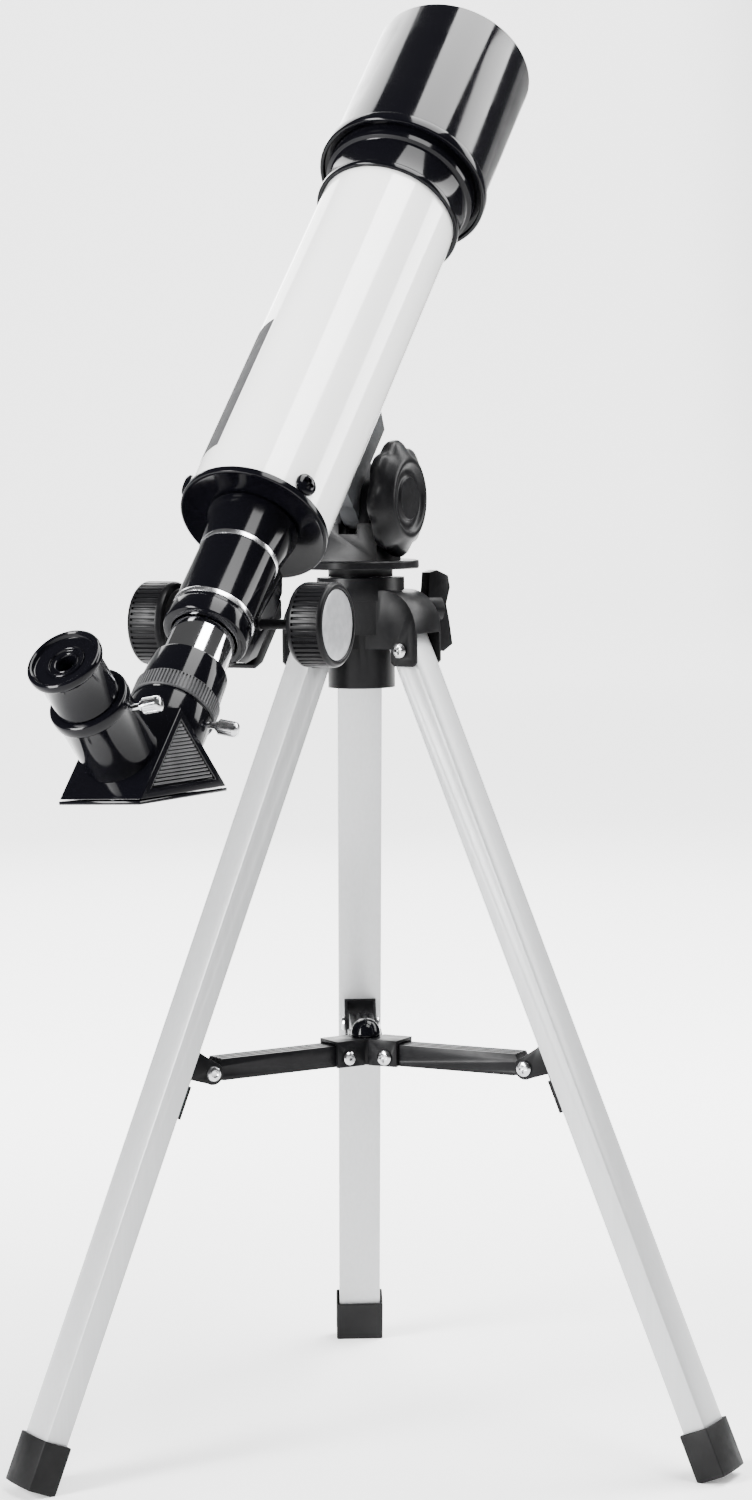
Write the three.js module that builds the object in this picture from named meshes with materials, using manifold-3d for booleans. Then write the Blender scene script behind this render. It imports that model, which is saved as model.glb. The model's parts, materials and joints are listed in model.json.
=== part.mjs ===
// Small refracting telescope on a folding aluminium tripod.
// Millimetres, +Z up, floor at z = 0, origin under the middle of the whole.
import * as THREE from "three";
import { mergeVertices } from "three/addons/utils/BufferGeometryUtils.js";
import Module from "manifold-3d";

const wasm = await Module();
wasm.setup();

// ---- driving dimensions ----
const GAP = 0.3; // running or assembly gap between neighbouring pieces
const ROUND = 32; // facets on large round pieces
const FINE = 16; // facets on small round pieces
const TINY = 8; // facets on screws

// Pose of the instrument as it stands.
const STAND_Y = 29.251; // tripod's vertical axis behind the middle of the whole
const AZIMUTH = 26.75; // degrees from +Y towards +X
const ALTITUDE = 44.36; // degrees above the horizon
const PIVOT_Z = 396; // height of the altitude axis
const AXIS_ABOVE_PIVOT = 62.5; // optical axis above the altitude axis
const CAP_BEHIND_PIVOT = 76.8; // rear cap's outer face behind the altitude axis

// Optical tube, measured along the axis from the rear cap's outer face.
const TUBE_R = 29;
const TUBE_WALL = 1;
const TUBE_FRONT = 186;
const CELL_BACK = 180;
const CELL_LIP_R = 31;
const CELL_R = 30;
const FLANGE_BACK = 201.8;
const FLANGE_FRONT = 207;
const FLANGE_R = 36.6;
const SHIELD_R = 34.6;
const SHIELD_FRONT = 281;
const OBJECTIVE_R = 25;
const CAP_R = 30.2;
const CAP_T = 3;
const CAP_SCREW_S = 7.5;
const CAP_SCREW_TURNS = [30, 150, 270]; // degrees round the tube

// Focuser, behind the rear cap.
const BARREL_R = 15.6;
const BARREL_BORE = 13.3;
const BARREL_BACK = -59.5;
const BARREL_LIP_R = 16.8;
const DRAW_R = 12.7;
const DRAW_BORE = 11.6;
const DRAW_FRONT = 6;
const HOLDER_FRONT = -76;
const HOLDER_R = 15.2;
const KNURL_FRONT = -90;
const KNURL_BACK = -97.5;
const KNURL_R = 16.6;
const HOLDER_BACK = -111;
const SHAFT_S = -34.7;
const SHAFT_DROP = 19;
const SHAFT_R = 2;
const TEETH = 10;
const MODULE = 0.8;
const PITCH_R = (MODULE * TEETH) / 2;
const KNOB_R = 16.5;
const KNOB_IN = 26.5;
const KNOB_OUT = 42;
const RACK_HALF = 3.5;
const RACK_ROOM = 17.2; // depth below the axis of the channel that the rack slides in
const CHANNEL_HALF = 5.2;
const HOUSING_HALF = 8.5;
const RACK_BACK = -74;
const RACK_FRONT = 5.5;
const HOLDER_SCREW_S = -100;
const HOLDER_SCREW_TURN = 14; // degrees below the horizontal

// Star diagonal and eyepiece.
const DIAGONAL_ROLL = 3; // degrees turned in the holder
const PRISM_FRONT = -111.4;
const PRISM_LEG = 44.5;
const PRISM_TOP = 18;
const PRISM_HALF = 17.2;
const EYEPIECE_S = -133.5;
const SLEEVE_TOP = 48;
const SLEEVE_R = 14.2;
const EYEPIECE_TOP = 69.5;
const EYEPIECE_R = 12.6;
const NOSE_R = 11.4;
const SLEEVE_SCREW_Z = 39.4;
const SLEEVE_SCREW_TURN = -79; // degrees from the front

// Fork, turntable and head.
const DISC_R = 24.3;
const DISC_Z = 367;
const DISC_T = 3.3;
const CHEEK_IN = 4.2;
const CHEEK_OUT = 8.8;
const SHOULDER_HALF = 13.2;
const SHOULDER_Z = 388;
const TONGUE_R = 13;
const SADDLE_HALF = 8;
const SADDLE_BOTTOM = -48;
const SADDLE_BACK = 58;
const SADDLE_FRONT = 106;
const ALT_KNOB_R = 24.3;
const ALT_KNOB_LOBES = 8;
const ALT_KNOB_OUT = 23.6;
const HEAD_FLANGE_R = 18.3;
const HEAD_TOP = 363.4;
const BOSS_R = 14;
const BOSS_BOTTOM = 317.5;
const LOCK_Z = 349; // azimuth lock's height
const LOCK_TURN = -60; // degrees, the lock's direction from +Y

// Tripod legs.
const LEG_NAMES = ["back", "left", "right"];
const LEG_PIVOT_R = 24.2;
const LEG_PIVOT_Z = 333.6;
const SPLAY = 22.49; // degrees
const LEG_W = 18.7;
const LEG_D = 11;
const LEG_WALL = 1.2;
const LEG_BOTTOM = -359; // foot's lower end along the leg, from the pivot
const FOOT_H = 20.6;
const FOOT_WALL = 1.4;
const CLEVIS_HALF = 11.4;
const CLEVIS_R = 31.6;
const SLOT_HALF = LEG_W / 2 + 0.5;

// Spreader.
const HUB_PIVOT_R = 12.8;
const ARM_Z = 162.6;
const ARM_LENGTH = 64.8;
const ARM_W = 10.6;
const HUB_HALF = 7.1;
const ARM_LOW = 3.6; // below the pivots
const ARM_HIGH = 5.4; // above the pivots
const EAR_IN = 5.8;
const EAR_OUT = 7;
const SHEET = 1.4;
const TAIL_T = 2.6;

// ---- helpers ----
const rad = THREE.MathUtils.degToRad;

// A geometry as a manifold solid.
function solid(geometry) {
  const g = geometry.clone();
  g.deleteAttribute("normal");
  g.deleteAttribute("uv");
  const merged = mergeVertices(g, 1e-4);
  return new wasm.Manifold(
    new wasm.Mesh({
      numProp: 3,
      vertProperties: merged.attributes.position.array,
      triVerts: new Uint32Array(merged.index.array),
    }),
  );
}

// A manifold solid as a geometry.
function geometryOf(shape) {
  const mesh = shape.getMesh();
  const g = new THREE.BufferGeometry();
  g.setAttribute("position", new THREE.BufferAttribute(mesh.vertProperties, 3));
  g.setIndex(new THREE.BufferAttribute(mesh.triVerts, 1));
  g.computeVertexNormals();
  return g;
}

// A ring or solid of revolution about the local Y axis, from a closed list of [radius, height].
function revolve(points, segments = ROUND) {
  const closed = [...points, points[0]];
  const onAxis = points[0][0] === 0;
  const profile = (onAxis ? points : closed).map(([r, y]) => new THREE.Vector2(r, y));
  const shape = solid(new THREE.LatheGeometry(profile, segments));
  return shape.volume() < 0 ? solid(flipped(new THREE.LatheGeometry(profile, segments))) : shape;
}

// The same geometry with its faces turned round.
function flipped(geometry) {
  const g = geometry.clone();
  const index = g.index.array;
  for (let i = 0; i < index.length; i += 3) {
    [index[i + 1], index[i + 2]] = [index[i + 2], index[i + 1]];
  }
  return g;
}

// A tube between two heights on the Y axis.
function tube(outer, inner, low, high, segments = ROUND) {
  return revolve([[inner, low], [outer, low], [outer, high], [inner, high]], segments);
}

// A rod between two heights on the Y axis.
function rod(r, low, high, segments = FINE) {
  return revolve([[0, low], [r, low], [r, high], [0, high]], segments);
}

// A box from its lowest to its highest corner.
function box(low, high) {
  const size = high.map((h, i) => h - low[i]);
  const g = new THREE.BoxGeometry(...size);
  g.translate(...high.map((h, i) => (h + low[i]) / 2));
  return solid(g);
}

// An outline in the XY plane, extruded along Z.
function prism(points, low, high) {
  const shape = new THREE.Shape(points.map(([x, y]) => new THREE.Vector2(x, y)));
  const g = new THREE.ExtrudeGeometry(shape, { depth: high - low, bevelEnabled: false });
  g.translate(0, 0, low);
  return solid(g);
}

// An outline given as [y, z], extruded along X.
function prismX(points, low, high) {
  return prism(points, low, high).rotate([90, 0, 90]);
}

// An outline given as [x, z], extruded along Y.
function prismY(points, low, high) {
  return prism(points, -high, -low).rotate([90, 0, 0]);
}

// A rod along the local X axis.
function rodX(r, low, high, segments = FINE) {
  return rod(r, low, high, segments).rotate([0, 0, -90]);
}

// A rod along the local Z axis.
function rodZ(r, low, high, segments = FINE) {
  return rod(r, low, high, segments).rotate([90, 0, 0]);
}

// Points on an arc, from one angle to another in degrees.
function arc(cx, cy, r, from, to, steps) {
  return Array.from({ length: steps + 1 }, (_, i) => {
    const a = rad(from + ((to - from) * i) / steps);
    return [cx + r * Math.cos(a), cy + r * Math.sin(a)];
  });
}

function paint(color, roughness, metalness) {
  return new THREE.MeshStandardMaterial({ color, roughness, metalness });
}

const GLOSS_BLACK = paint(0x0c0c0e, 0.12, 0);
const SATIN_BLACK = paint(0x17171a, 0.4, 0);
const GREY_METAL = paint(0x55585b, 0.5, 0.8);
const WHITE = paint(0xf4f4f2, 0.15, 0);
const CHROME = paint(0xd8d8da, 0.08, 1);
const ALUMINIUM = paint(0xc9cacc, 0.35, 1);
const STEEL = paint(0xb8b9bb, 0.25, 1);
const BRASS = paint(0xb8975a, 0.3, 1);
const GLASS = paint(0xbfd2dc, 0.02, 0);
const MIRROR = paint(0xe8e8ea, 0.02, 1);

function add(group, name, shape, material) {
  const mesh = new THREE.Mesh(geometryOf(shape), material);
  mesh.name = name;
  group.add(mesh);
}

const telescope = new THREE.Group();
telescope.position.y = STAND_Y;

// ---- tripod head and azimuth lock ----
function buildHead() {
  const shoulder = arc(17, 0, CLEVIS_R - 17, 12, 90, 7).map(([y, z]) => [y, 341.5 + z * 1.15]);
  const lobe = prismX(
    [
      [0, 334], [20, 334], [20, 328.5], [21.5, 327], [CLEVIS_R - 1.5, 327], [CLEVIS_R, 328.5],
      [CLEVIS_R, 341.5], ...shoulder, [0, 358],
    ],
    -CLEVIS_HALF, CLEVIS_HALF,
  );
  const slot = box([-SLOT_HALF, 15.7, 320], [SLOT_HALF, 29.6, 344])
    .add(box([-SLOT_HALF, 29, 320], [SLOT_HALF, 40, 340.5]));
  const hole = rodX(2.1, -20, 20, TINY).translate([0, LEG_PIVOT_R, LEG_PIVOT_Z]);
  let head = rodZ(BOSS_R, BOSS_BOTTOM, 345, ROUND);
  head = head.add(rodZ(HEAD_FLANGE_R, 354, HEAD_TOP, ROUND));
  head = head.add(rodZ(17.5, 340, 356, ROUND));
  for (const turn of [0, 120, 240]) {
    head = head.add(lobe.rotate([0, 0, turn]));
  }
  for (const turn of [0, 120, 240]) {
    head = head.subtract(slot.add(hole).rotate([0, 0, turn]));
  }
  const lockBoss = rod(6, 10, 25, FINE).translate([0, 0, LOCK_Z]).rotate([0, 0, LOCK_TURN]);
  head = head.add(lockBoss);
  head = head.subtract(rodZ(4.3, 300, 380, FINE));
  head = head.subtract(rodZ(11.3, 300, 345, FINE));
  const lockBore = rod(2.3, 12, 30, FINE).translate([0, 0, LOCK_Z]).rotate([0, 0, LOCK_TURN]);
  head = head.subtract(lockBore);
  add(telescope, "tripod_head", head, SATIN_BLACK);
}

function buildAzimuthLock() {
  const wing = prismX(
    [
      [34.5, -16], [39, -18], [43.5, -15], [42, -5], [40.5, 2], [42.5, 9], [41.5, 14], [36, 16.5],
      [32.5, 15.5], [31.5, 5], [33, -4],
    ],
    -3.2, 3.2,
  );
  const hub = rod(6, 26, 38, FINE);
  const stem = rod(2, 12.5, 30, FINE);
  const knob = wing.add(hub).add(stem).translate([0, 0, LOCK_Z]).rotate([0, 0, LOCK_TURN]);
  add(telescope, "azimuth_lock_knob", knob, SATIN_BLACK);
}

// ---- fork on its turntable ----
const azimuthGroup = new THREE.Group();
azimuthGroup.rotation.z = rad(-AZIMUTH);
telescope.add(azimuthGroup);

function buildFork() {
  const shoulders = prismY(
    [
      [-SHOULDER_HALF, DISC_Z], [SHOULDER_HALF, DISC_Z],
      ...arc(SHOULDER_HALF - 4, SHOULDER_Z - 6, 4, 0, 90, 4),
      ...arc(4 - SHOULDER_HALF, SHOULDER_Z - 6, 4, 90, 180, 4),
    ],
    -12, 12,
  );
  const cheek = prismX(
    [[-12, DISC_Z], [12, DISC_Z], [9.5, 388], ...arc(0, PIVOT_Z, 8.5, 10, 170, 10), [-9.5, 388]],
    -CHEEK_OUT, CHEEK_OUT,
  );
  let fork = rodZ(DISC_R, DISC_Z, DISC_Z + DISC_T, ROUND).add(shoulders).add(cheek);
  fork = fork.add(rodZ(13.5, HEAD_TOP + GAP, DISC_Z, ROUND));
  fork = fork.subtract(box([-CHEEK_IN, -20, 381.5], [CHEEK_IN, 20, 420]));
  fork = fork.subtract(rodX(3.2, -20, 20, FINE).translate([0, 0, PIVOT_Z]));
  fork = fork.subtract(rodZ(4.3, 300, 377, FINE));
  fork = fork.subtract(rodZ(7.2, 373, 400, 6));
  add(azimuthGroup, "altitude_fork", fork, SATIN_BLACK);

  const bolt = rodZ(4, 334.5, 377.5, FINE).add(rodZ(6.8, 373.5, 379, 6));
  add(azimuthGroup, "azimuth_bolt", bolt, STEEL);
  const nut = rodZ(9, 338, 344.2, 6).subtract(rodZ(4.3, 300, 400, FINE));
  add(azimuthGroup, "azimuth_nut", nut, STEEL);

  const altBolt = rodX(3, -9.2, 20, FINE).add(rodX(5.2, -13.2, -9.1, 6)).translate([0, 0, PIVOT_Z]);
  add(azimuthGroup, "altitude_bolt", altBolt, STEEL);
}

function buildAltitudeKnob() {
  const outline = Array.from({ length: 48 }, (_, i) => {
    const a = (i / 48) * Math.PI * 2;
    const r = ALT_KNOB_R - 1.1 + 1.1 * Math.cos(ALT_KNOB_LOBES * (a - rad(6)));
    return [r * Math.cos(a), r * Math.sin(a)];
  });
  let knob = prismX(outline, ALT_KNOB_OUT - 10, ALT_KNOB_OUT - 4.2);
  knob = knob.add(revolve([[0, 0], [22, 0], [20.5, 2.4], [16, 4.2], [0, 4.2]]).rotate([0, 0, -90])
    .translate([ALT_KNOB_OUT - 4.3, 0, 0]));
  knob = knob.add(rodX(7.6, CHEEK_OUT + 0.4, ALT_KNOB_OUT - 9, FINE));
  knob = knob.subtract(rodX(15, ALT_KNOB_OUT - 1.6, ALT_KNOB_OUT + 5, FINE));
  knob = knob.add(rodX(9, ALT_KNOB_OUT - 3, ALT_KNOB_OUT - 0.6, FINE));
  knob = knob.subtract(rodX(3.2, 0, 20.2, FINE));
  add(azimuthGroup, "altitude_knob", knob.translate([0, 0, PIVOT_Z]), SATIN_BLACK);
}

// ---- optical tube, in a frame with +Y along the optical axis and +Z up from it ----
const altitudeGroup = new THREE.Group();
altitudeGroup.position.z = PIVOT_Z;
altitudeGroup.rotation.x = rad(ALTITUDE);
azimuthGroup.add(altitudeGroup);
const opticsGroup = new THREE.Group();
opticsGroup.position.set(0, -CAP_BEHIND_PIVOT, AXIS_ABOVE_PIVOT);
altitudeGroup.add(opticsGroup);

function buildObjective() {
  const shield = revolve([
    [SHIELD_R - 2, FLANGE_BACK], [FLANGE_R - 1, FLANGE_BACK], [FLANGE_R, FLANGE_BACK + 1],
    [FLANGE_R, FLANGE_FRONT - 1], [FLANGE_R - 1, FLANGE_FRONT], [SHIELD_R, FLANGE_FRONT],
    [SHIELD_R, SHIELD_FRONT - 1], [SHIELD_R - 1, SHIELD_FRONT], [SHIELD_R - 2, SHIELD_FRONT],
  ]);
  add(opticsGroup, "dew_shield", shield, GLOSS_BLACK);

  const cell = revolve([
    [TUBE_R + GAP, CELL_BACK], [CELL_LIP_R, CELL_BACK], [CELL_LIP_R, CELL_BACK + 3],
    [CELL_R, CELL_BACK + 4], [CELL_R, 196], [SHIELD_R - 2.3, 197], [SHIELD_R - 2.3, 214],
    [OBJECTIVE_R + 1.2, 214], [OBJECTIVE_R + 1.2, 200], [OBJECTIVE_R - 1.5, 200],
    [OBJECTIVE_R - 1.5, TUBE_FRONT + 2],
    [TUBE_R + GAP, TUBE_FRONT + 2],
  ]);
  add(opticsGroup, "objective_cell", cell, GLOSS_BLACK);

  const lens = revolve([
    [0, 200.9], [12, 200.7], [OBJECTIVE_R, 200.3], [OBJECTIVE_R, 203.5], [18, 206], [9, 207.4], [0, 207.9],
  ], 32);
  add(opticsGroup, "objective_lens", lens, GLASS);
  const ring = tube(OBJECTIVE_R + 0.9, OBJECTIVE_R - 1.5, 204.9, 208.5, 32);
  add(opticsGroup, "lens_retaining_ring", ring, SATIN_BLACK);
}

function buildTube() {
  let main = tube(TUBE_R, TUBE_R - TUBE_WALL, CAP_T + GAP, TUBE_FRONT);
  for (const turn of CAP_SCREW_TURNS) {
    main = main.subtract(capRod(turn, 1.6, TUBE_R - 8, TUBE_R + 5, TINY));
  }
  add(opticsGroup, "main_tube", main, WHITE);
  const baffle = revolve([
    [16, 95], [TUBE_R - 1.3, 95], [TUBE_R - 1.3, 103], [TUBE_R - 2.3, 103], [TUBE_R - 2.3, 96.2], [16, 96.2],
  ], 32);
  add(opticsGroup, "tube_baffle", baffle, SATIN_BLACK);

  const spigot = TUBE_R - TUBE_WALL - GAP;
  let cap = revolve([
    [BARREL_BORE + 0.5, 0], [CAP_R, 0], [CAP_R, CAP_T], [spigot, CAP_T], [spigot, 12],
    [spigot - 2, 12], [spigot - 2, CAP_T], [BARREL_BORE + 0.5, CAP_T],
  ]);
  for (const turn of CAP_SCREW_TURNS) {
    cap = cap.subtract(capRod(turn, 1.6, TUBE_R - 8, TUBE_R + 5, TINY));
  }
  cap = cap.subtract(box([-RACK_HALF - GAP, -1, -RACK_ROOM], [RACK_HALF + GAP, CAP_T + 2, 0]));
  add(opticsGroup, "rear_cap", cap, SATIN_BLACK);
  CAP_SCREW_TURNS.forEach((turn, i) => {
    const shank = capRod(turn, 1.3, TUBE_R - 6, TUBE_R + 1, TINY);
    const screw = shank.add(capRod(turn, 3.6, TUBE_R + GAP, TUBE_R + 2.2, TINY + 4));
    add(opticsGroup, `rear_cap_screw_${i + 1}`, screw, SATIN_BLACK);
  });
}

// A radial rod through the tube wall into the rear cap's spigot.
function capRod(turn, r, inner, outer, segments) {
  return rodZ(r, inner, outer, segments).rotate([0, 90 - turn, 0]).translate([0, CAP_SCREW_S, 0]);
}

function buildSaddle() {
  const curve = arc(0, 0, TUBE_R + GAP, 270 - 16, 270 + 16, 6);
  const bar = prismY(
    [[-SADDLE_HALF, SADDLE_BOTTOM], [SADDLE_HALF, SADDLE_BOTTOM], ...curve.reverse()],
    SADDLE_BACK, SADDLE_FRONT,
  );
  const noseCut = prismX(
    [[SADDLE_FRONT - 3.5, SADDLE_BOTTOM - 1], [SADDLE_FRONT + 1, SADDLE_BOTTOM - 1], [SADDLE_FRONT + 1, -37]],
    -10, 10,
  );
  const tongue = prismX(
    [
      [CAP_BEHIND_PIVOT + 14, SADDLE_BOTTOM + 1], [CAP_BEHIND_PIVOT - 14, SADDLE_BOTTOM + 1],
      ...arc(CAP_BEHIND_PIVOT, -AXIS_ABOVE_PIVOT, TONGUE_R, 160, 380, 14),
    ],
    -CHEEK_IN + 0.4, CHEEK_IN - 0.4,
  );
  const bore = rodX(3.2, -20, 20, FINE).translate([0, CAP_BEHIND_PIVOT, -AXIS_ABOVE_PIVOT]);
  add(opticsGroup, "tube_saddle", bar.subtract(noseCut).add(tongue).subtract(bore), GREY_METAL);
}

// ---- focuser ----
function buildFocuser() {
  const lipFront = BARREL_BACK + 8;
  let barrel = revolve([
    [BARREL_BORE, BARREL_BACK], [BARREL_LIP_R, BARREL_BACK], [BARREL_LIP_R, lipFront],
    [BARREL_R + 0.6, lipFront + 1], [BARREL_R, -19], [18.5, -1], [18.5, -GAP], [BARREL_BORE, -GAP],
  ]);
  const housing = prismX(
    [
      [-8, -14], [-8, -20], [-13, -24.5], [-24, -25.5], [-46, -25.5], [-54, -20.5], [-57, -16.5], [-57, -14],
    ],
    -HOUSING_HALF, HOUSING_HALF,
  );
  barrel = barrel.add(housing).subtract(rod(BARREL_BORE, -70, 5, ROUND));
  barrel = barrel.subtract(box([-CHANNEL_HALF, -70, -RACK_ROOM], [CHANNEL_HALF, 5, 0]));
  barrel = barrel.subtract(box([-CHANNEL_HALF, SHAFT_S - 6, -40], [CHANNEL_HALF, SHAFT_S + 6, 0]));
  barrel = barrel.subtract(rodX(SHAFT_R + 0.15, -20, 20, FINE).translate([0, SHAFT_S, -SHAFT_DROP]));
  add(opticsGroup, "focuser_barrel", barrel, GLOSS_BLACK);

  const cover = prismX(
    [[-15, -25.8], [-20, -31], [-44, -31], [-50, -28], [-50, -25.8]],
    -HOUSING_HALF, HOUSING_HALF,
  ).subtract(box([-CHANNEL_HALF, SHAFT_S - 6, -28.6], [CHANNEL_HALF, SHAFT_S + 6, -20]));
  add(opticsGroup, "pinion_cover", cover, SATIN_BLACK);

  const shaft = rodX(SHAFT_R, -KNOB_OUT + 3, KNOB_OUT - 3, 16).translate([0, SHAFT_S, -SHAFT_DROP]);
  add(opticsGroup, "focus_shaft", shaft, STEEL);
  add(opticsGroup, "focus_pinion", pinion(), BRASS);
  for (const [side, name] of [[1, "right"], [-1, "left"]]) {
    let knob = revolve([
      [SHAFT_R + 0.15, KNOB_IN], [KNOB_R - 2.5, KNOB_IN], [KNOB_R, KNOB_IN + 2.5], [KNOB_R, KNOB_OUT - 1.2],
      [KNOB_R - 1.2, KNOB_OUT], [0, KNOB_OUT], [0, KNOB_OUT - 2.7], [SHAFT_R + 0.15, KNOB_OUT - 2.7],
    ].reverse(), ROUND);
    knob = knob.rotate([0, 0, -90 * side]).translate([0, SHAFT_S, -SHAFT_DROP]);
    add(opticsGroup, `focus_knob_${name}`, knob, SATIN_BLACK);
  }
}

// A spur pinion on the focus shaft, its tooth at the top standing in a gap of the rack.
function pinion() {
  const root = PITCH_R - 1.15 * MODULE;
  const tip = PITCH_R + 0.85 * MODULE;
  const step = 360 / TEETH;
  const outline = [];
  for (let i = 0; i < TEETH; i += 1) {
    const middle = 90 + i * step;
    const corners = [[root, -0.3], [tip, -0.1], [tip, 0.1], [root, 0.3]];
    for (const [r, share] of corners) {
      const a = rad(middle + share * step);
      outline.push([r * Math.cos(a), r * Math.sin(a)]);
    }
  }
  const bore = rodX(SHAFT_R + 0.15, -10, 10, 16);
  return prismX(outline, -4, 4).subtract(bore).translate([0, SHAFT_S, -SHAFT_DROP]);
}

function rack() {
  const pitch = Math.PI * MODULE;
  const pitchLine = -SHAFT_DROP + PITCH_R;
  const low = pitchLine - 0.8 * MODULE;
  const root = pitchLine + 1.1 * MODULE;
  const points = [[RACK_FRONT, -DRAW_R - GAP], [RACK_BACK, -DRAW_R - GAP], [RACK_BACK, root]];
  for (let i = -17; i < 17; i += 1) {
    const y = SHAFT_S + i * pitch;
    const corners = [[0.28, root], [0.42, low], [0.58, low], [0.72, root]];
    for (const [share, z] of corners) {
      const at = y + share * pitch;
      if (at > RACK_BACK && at < RACK_FRONT) {
        points.push([at, z]);
      }
    }
  }
  points.push([RACK_FRONT, root]);
  return prismX(points, -RACK_HALF, RACK_HALF);
}

function buildDrawtube() {
  add(opticsGroup, "drawtube", tube(DRAW_R, DRAW_BORE, HOLDER_FRONT - 6, DRAW_FRONT), CHROME);
  add(opticsGroup, "focus_rack", rack(), GLOSS_BLACK);
  let holder = revolve([
    [DRAW_R + GAP, HOLDER_FRONT], [HOLDER_R - 0.6, HOLDER_FRONT], [HOLDER_R, HOLDER_FRONT - 1],
    [HOLDER_R + 0.8, KNURL_FRONT], [KNURL_R, KNURL_FRONT], [KNURL_R, KNURL_BACK],
    [HOLDER_R + 0.6, KNURL_BACK], [HOLDER_R + 0.6, HOLDER_BACK], [NOSE_R + GAP, HOLDER_BACK],
    [NOSE_R + GAP, -83], [DRAW_R + GAP, -83],
  ].reverse());
  const placed = (shape) => shape.rotate([0, HOLDER_SCREW_TURN, 0]).translate([0, HOLDER_SCREW_S, 0]);
  holder = holder.subtract(placed(rodX(1.5, 5, 30, TINY)));
  add(opticsGroup, "eyepiece_holder", holder, GLOSS_BLACK);
  add(opticsGroup, "holder_thumbscrew", placed(thumbscrew(12.2, 19.5, 27.5).rotate([0, 0, -90])), STEEL);
}

// A thumbscrew along +Y: shank from its tip, then a knurled head.
function thumbscrew(tip, shoulder, end) {
  return rod(1.3, tip, shoulder + 1, TINY).add(revolve([
    [0, shoulder], [2.6, shoulder], [3, shoulder + 0.5], [3, end - 0.8], [2.2, end], [0, end],
  ], TINY + 4));
}

// ---- diagonal and eyepiece ----
const diagonalGroup = new THREE.Group();
diagonalGroup.rotation.y = rad(-DIAGONAL_ROLL);
opticsGroup.add(diagonalGroup);

function buildDiagonal() {
  const front = PRISM_FRONT;
  const back = PRISM_FRONT - PRISM_LEG;
  const bottom = PRISM_TOP - PRISM_LEG;
  let body = prismX(
    [[back, PRISM_TOP], [front, bottom], [front, PRISM_TOP]],
    -PRISM_HALF, PRISM_HALF,
  );
  const inner = prismX(
    [[back + 3, PRISM_TOP - 2.5], [front - 2.5, bottom + 3], [front - 2.5, PRISM_TOP - 2.5]],
    -PRISM_HALF + 2.5, PRISM_HALF - 2.5,
  );
  const sleeve = rodZ(SLEEVE_R, PRISM_TOP - 1, SLEEVE_TOP - 5, ROUND)
    .add(rodZ(SLEEVE_R + 1, SLEEVE_TOP - 6, SLEEVE_TOP, ROUND));
  const nose = rod(NOSE_R, PRISM_FRONT - 1, -86, ROUND);
  body = body.add(sleeve.translate([0, EYEPIECE_S, 0])).add(nose);
  body = body.subtract(inner);
  body = body.subtract(rod(NOSE_R - 1.2, -130, -60, ROUND));
  body = body.subtract(rodZ(NOSE_R + GAP, 5, 80, ROUND).translate([0, EYEPIECE_S, 0]));
  const slope = Math.SQRT1_2;
  const mid = [(front + back) / 2, (PRISM_TOP + bottom) / 2];
  const cut = plate(mid, slope, -6, 1.2, 26, 14);
  body = body.subtract(cut);
  const placed = (shape) => shape
    .rotate([0, 0, SLEEVE_SCREW_TURN])
    .translate([0, EYEPIECE_S, SLEEVE_SCREW_Z]);
  body = body.subtract(placed(rod(1.5, 5, 30, TINY)));
  add(diagonalGroup, "diagonal_housing", body, GLOSS_BLACK);
  add(diagonalGroup, "diagonal_mirror", plate(mid, slope, -1.6, 0.2, 25, 13), MIRROR);
  add(diagonalGroup, "diagonal_back_plate", plate(mid, slope, 0.5, 1.9, 32, PRISM_HALF), GLOSS_BLACK);

  add(diagonalGroup, "eyepiece_thumbscrew", placed(thumbscrew(12.2, 18.5, 26)), STEEL);
}

// A flat plate parallel to the mirror face, between two distances along its outward normal.
function plate(mid, slope, near, far, halfLength, halfWidth) {
  const corner = (along, out) => [mid[0] + along * slope - out * slope, mid[1] - along * slope - out * slope];
  return prismX(
    [
      corner(-halfLength, far), corner(halfLength, far),
      corner(halfLength, near), corner(-halfLength, near),
    ],
    -halfWidth, halfWidth,
  );
}

function buildEyepiece() {
  const body = revolve([
    [NOSE_R - 1.2, 27], [NOSE_R, 27], [NOSE_R, SLEEVE_TOP + GAP],
    [EYEPIECE_R - 0.4, SLEEVE_TOP + GAP], [EYEPIECE_R - 0.4, 64],
    [EYEPIECE_R + 1.7, 66], [EYEPIECE_R + 1.7, EYEPIECE_TOP], [EYEPIECE_R, EYEPIECE_TOP],
    [EYEPIECE_R - 1, 67.5], [4.4, 66], [4.4, 61], [NOSE_R - 1.2, 61],
  ]).rotate([90, 0, 0]).translate([0, EYEPIECE_S, 0]);
  add(diagonalGroup, "eyepiece_body", body, GLOSS_BLACK);
  const lens = rodZ(NOSE_R - 1.5, 55.5, 60.7, FINE).translate([0, EYEPIECE_S, 0]);
  add(diagonalGroup, "eye_lens", lens, GLASS);
  const field = rodZ(NOSE_R - 1.5, 30, 33, FINE).translate([0, EYEPIECE_S, 0]);
  add(diagonalGroup, "field_lens", field, GLASS);
}

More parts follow.
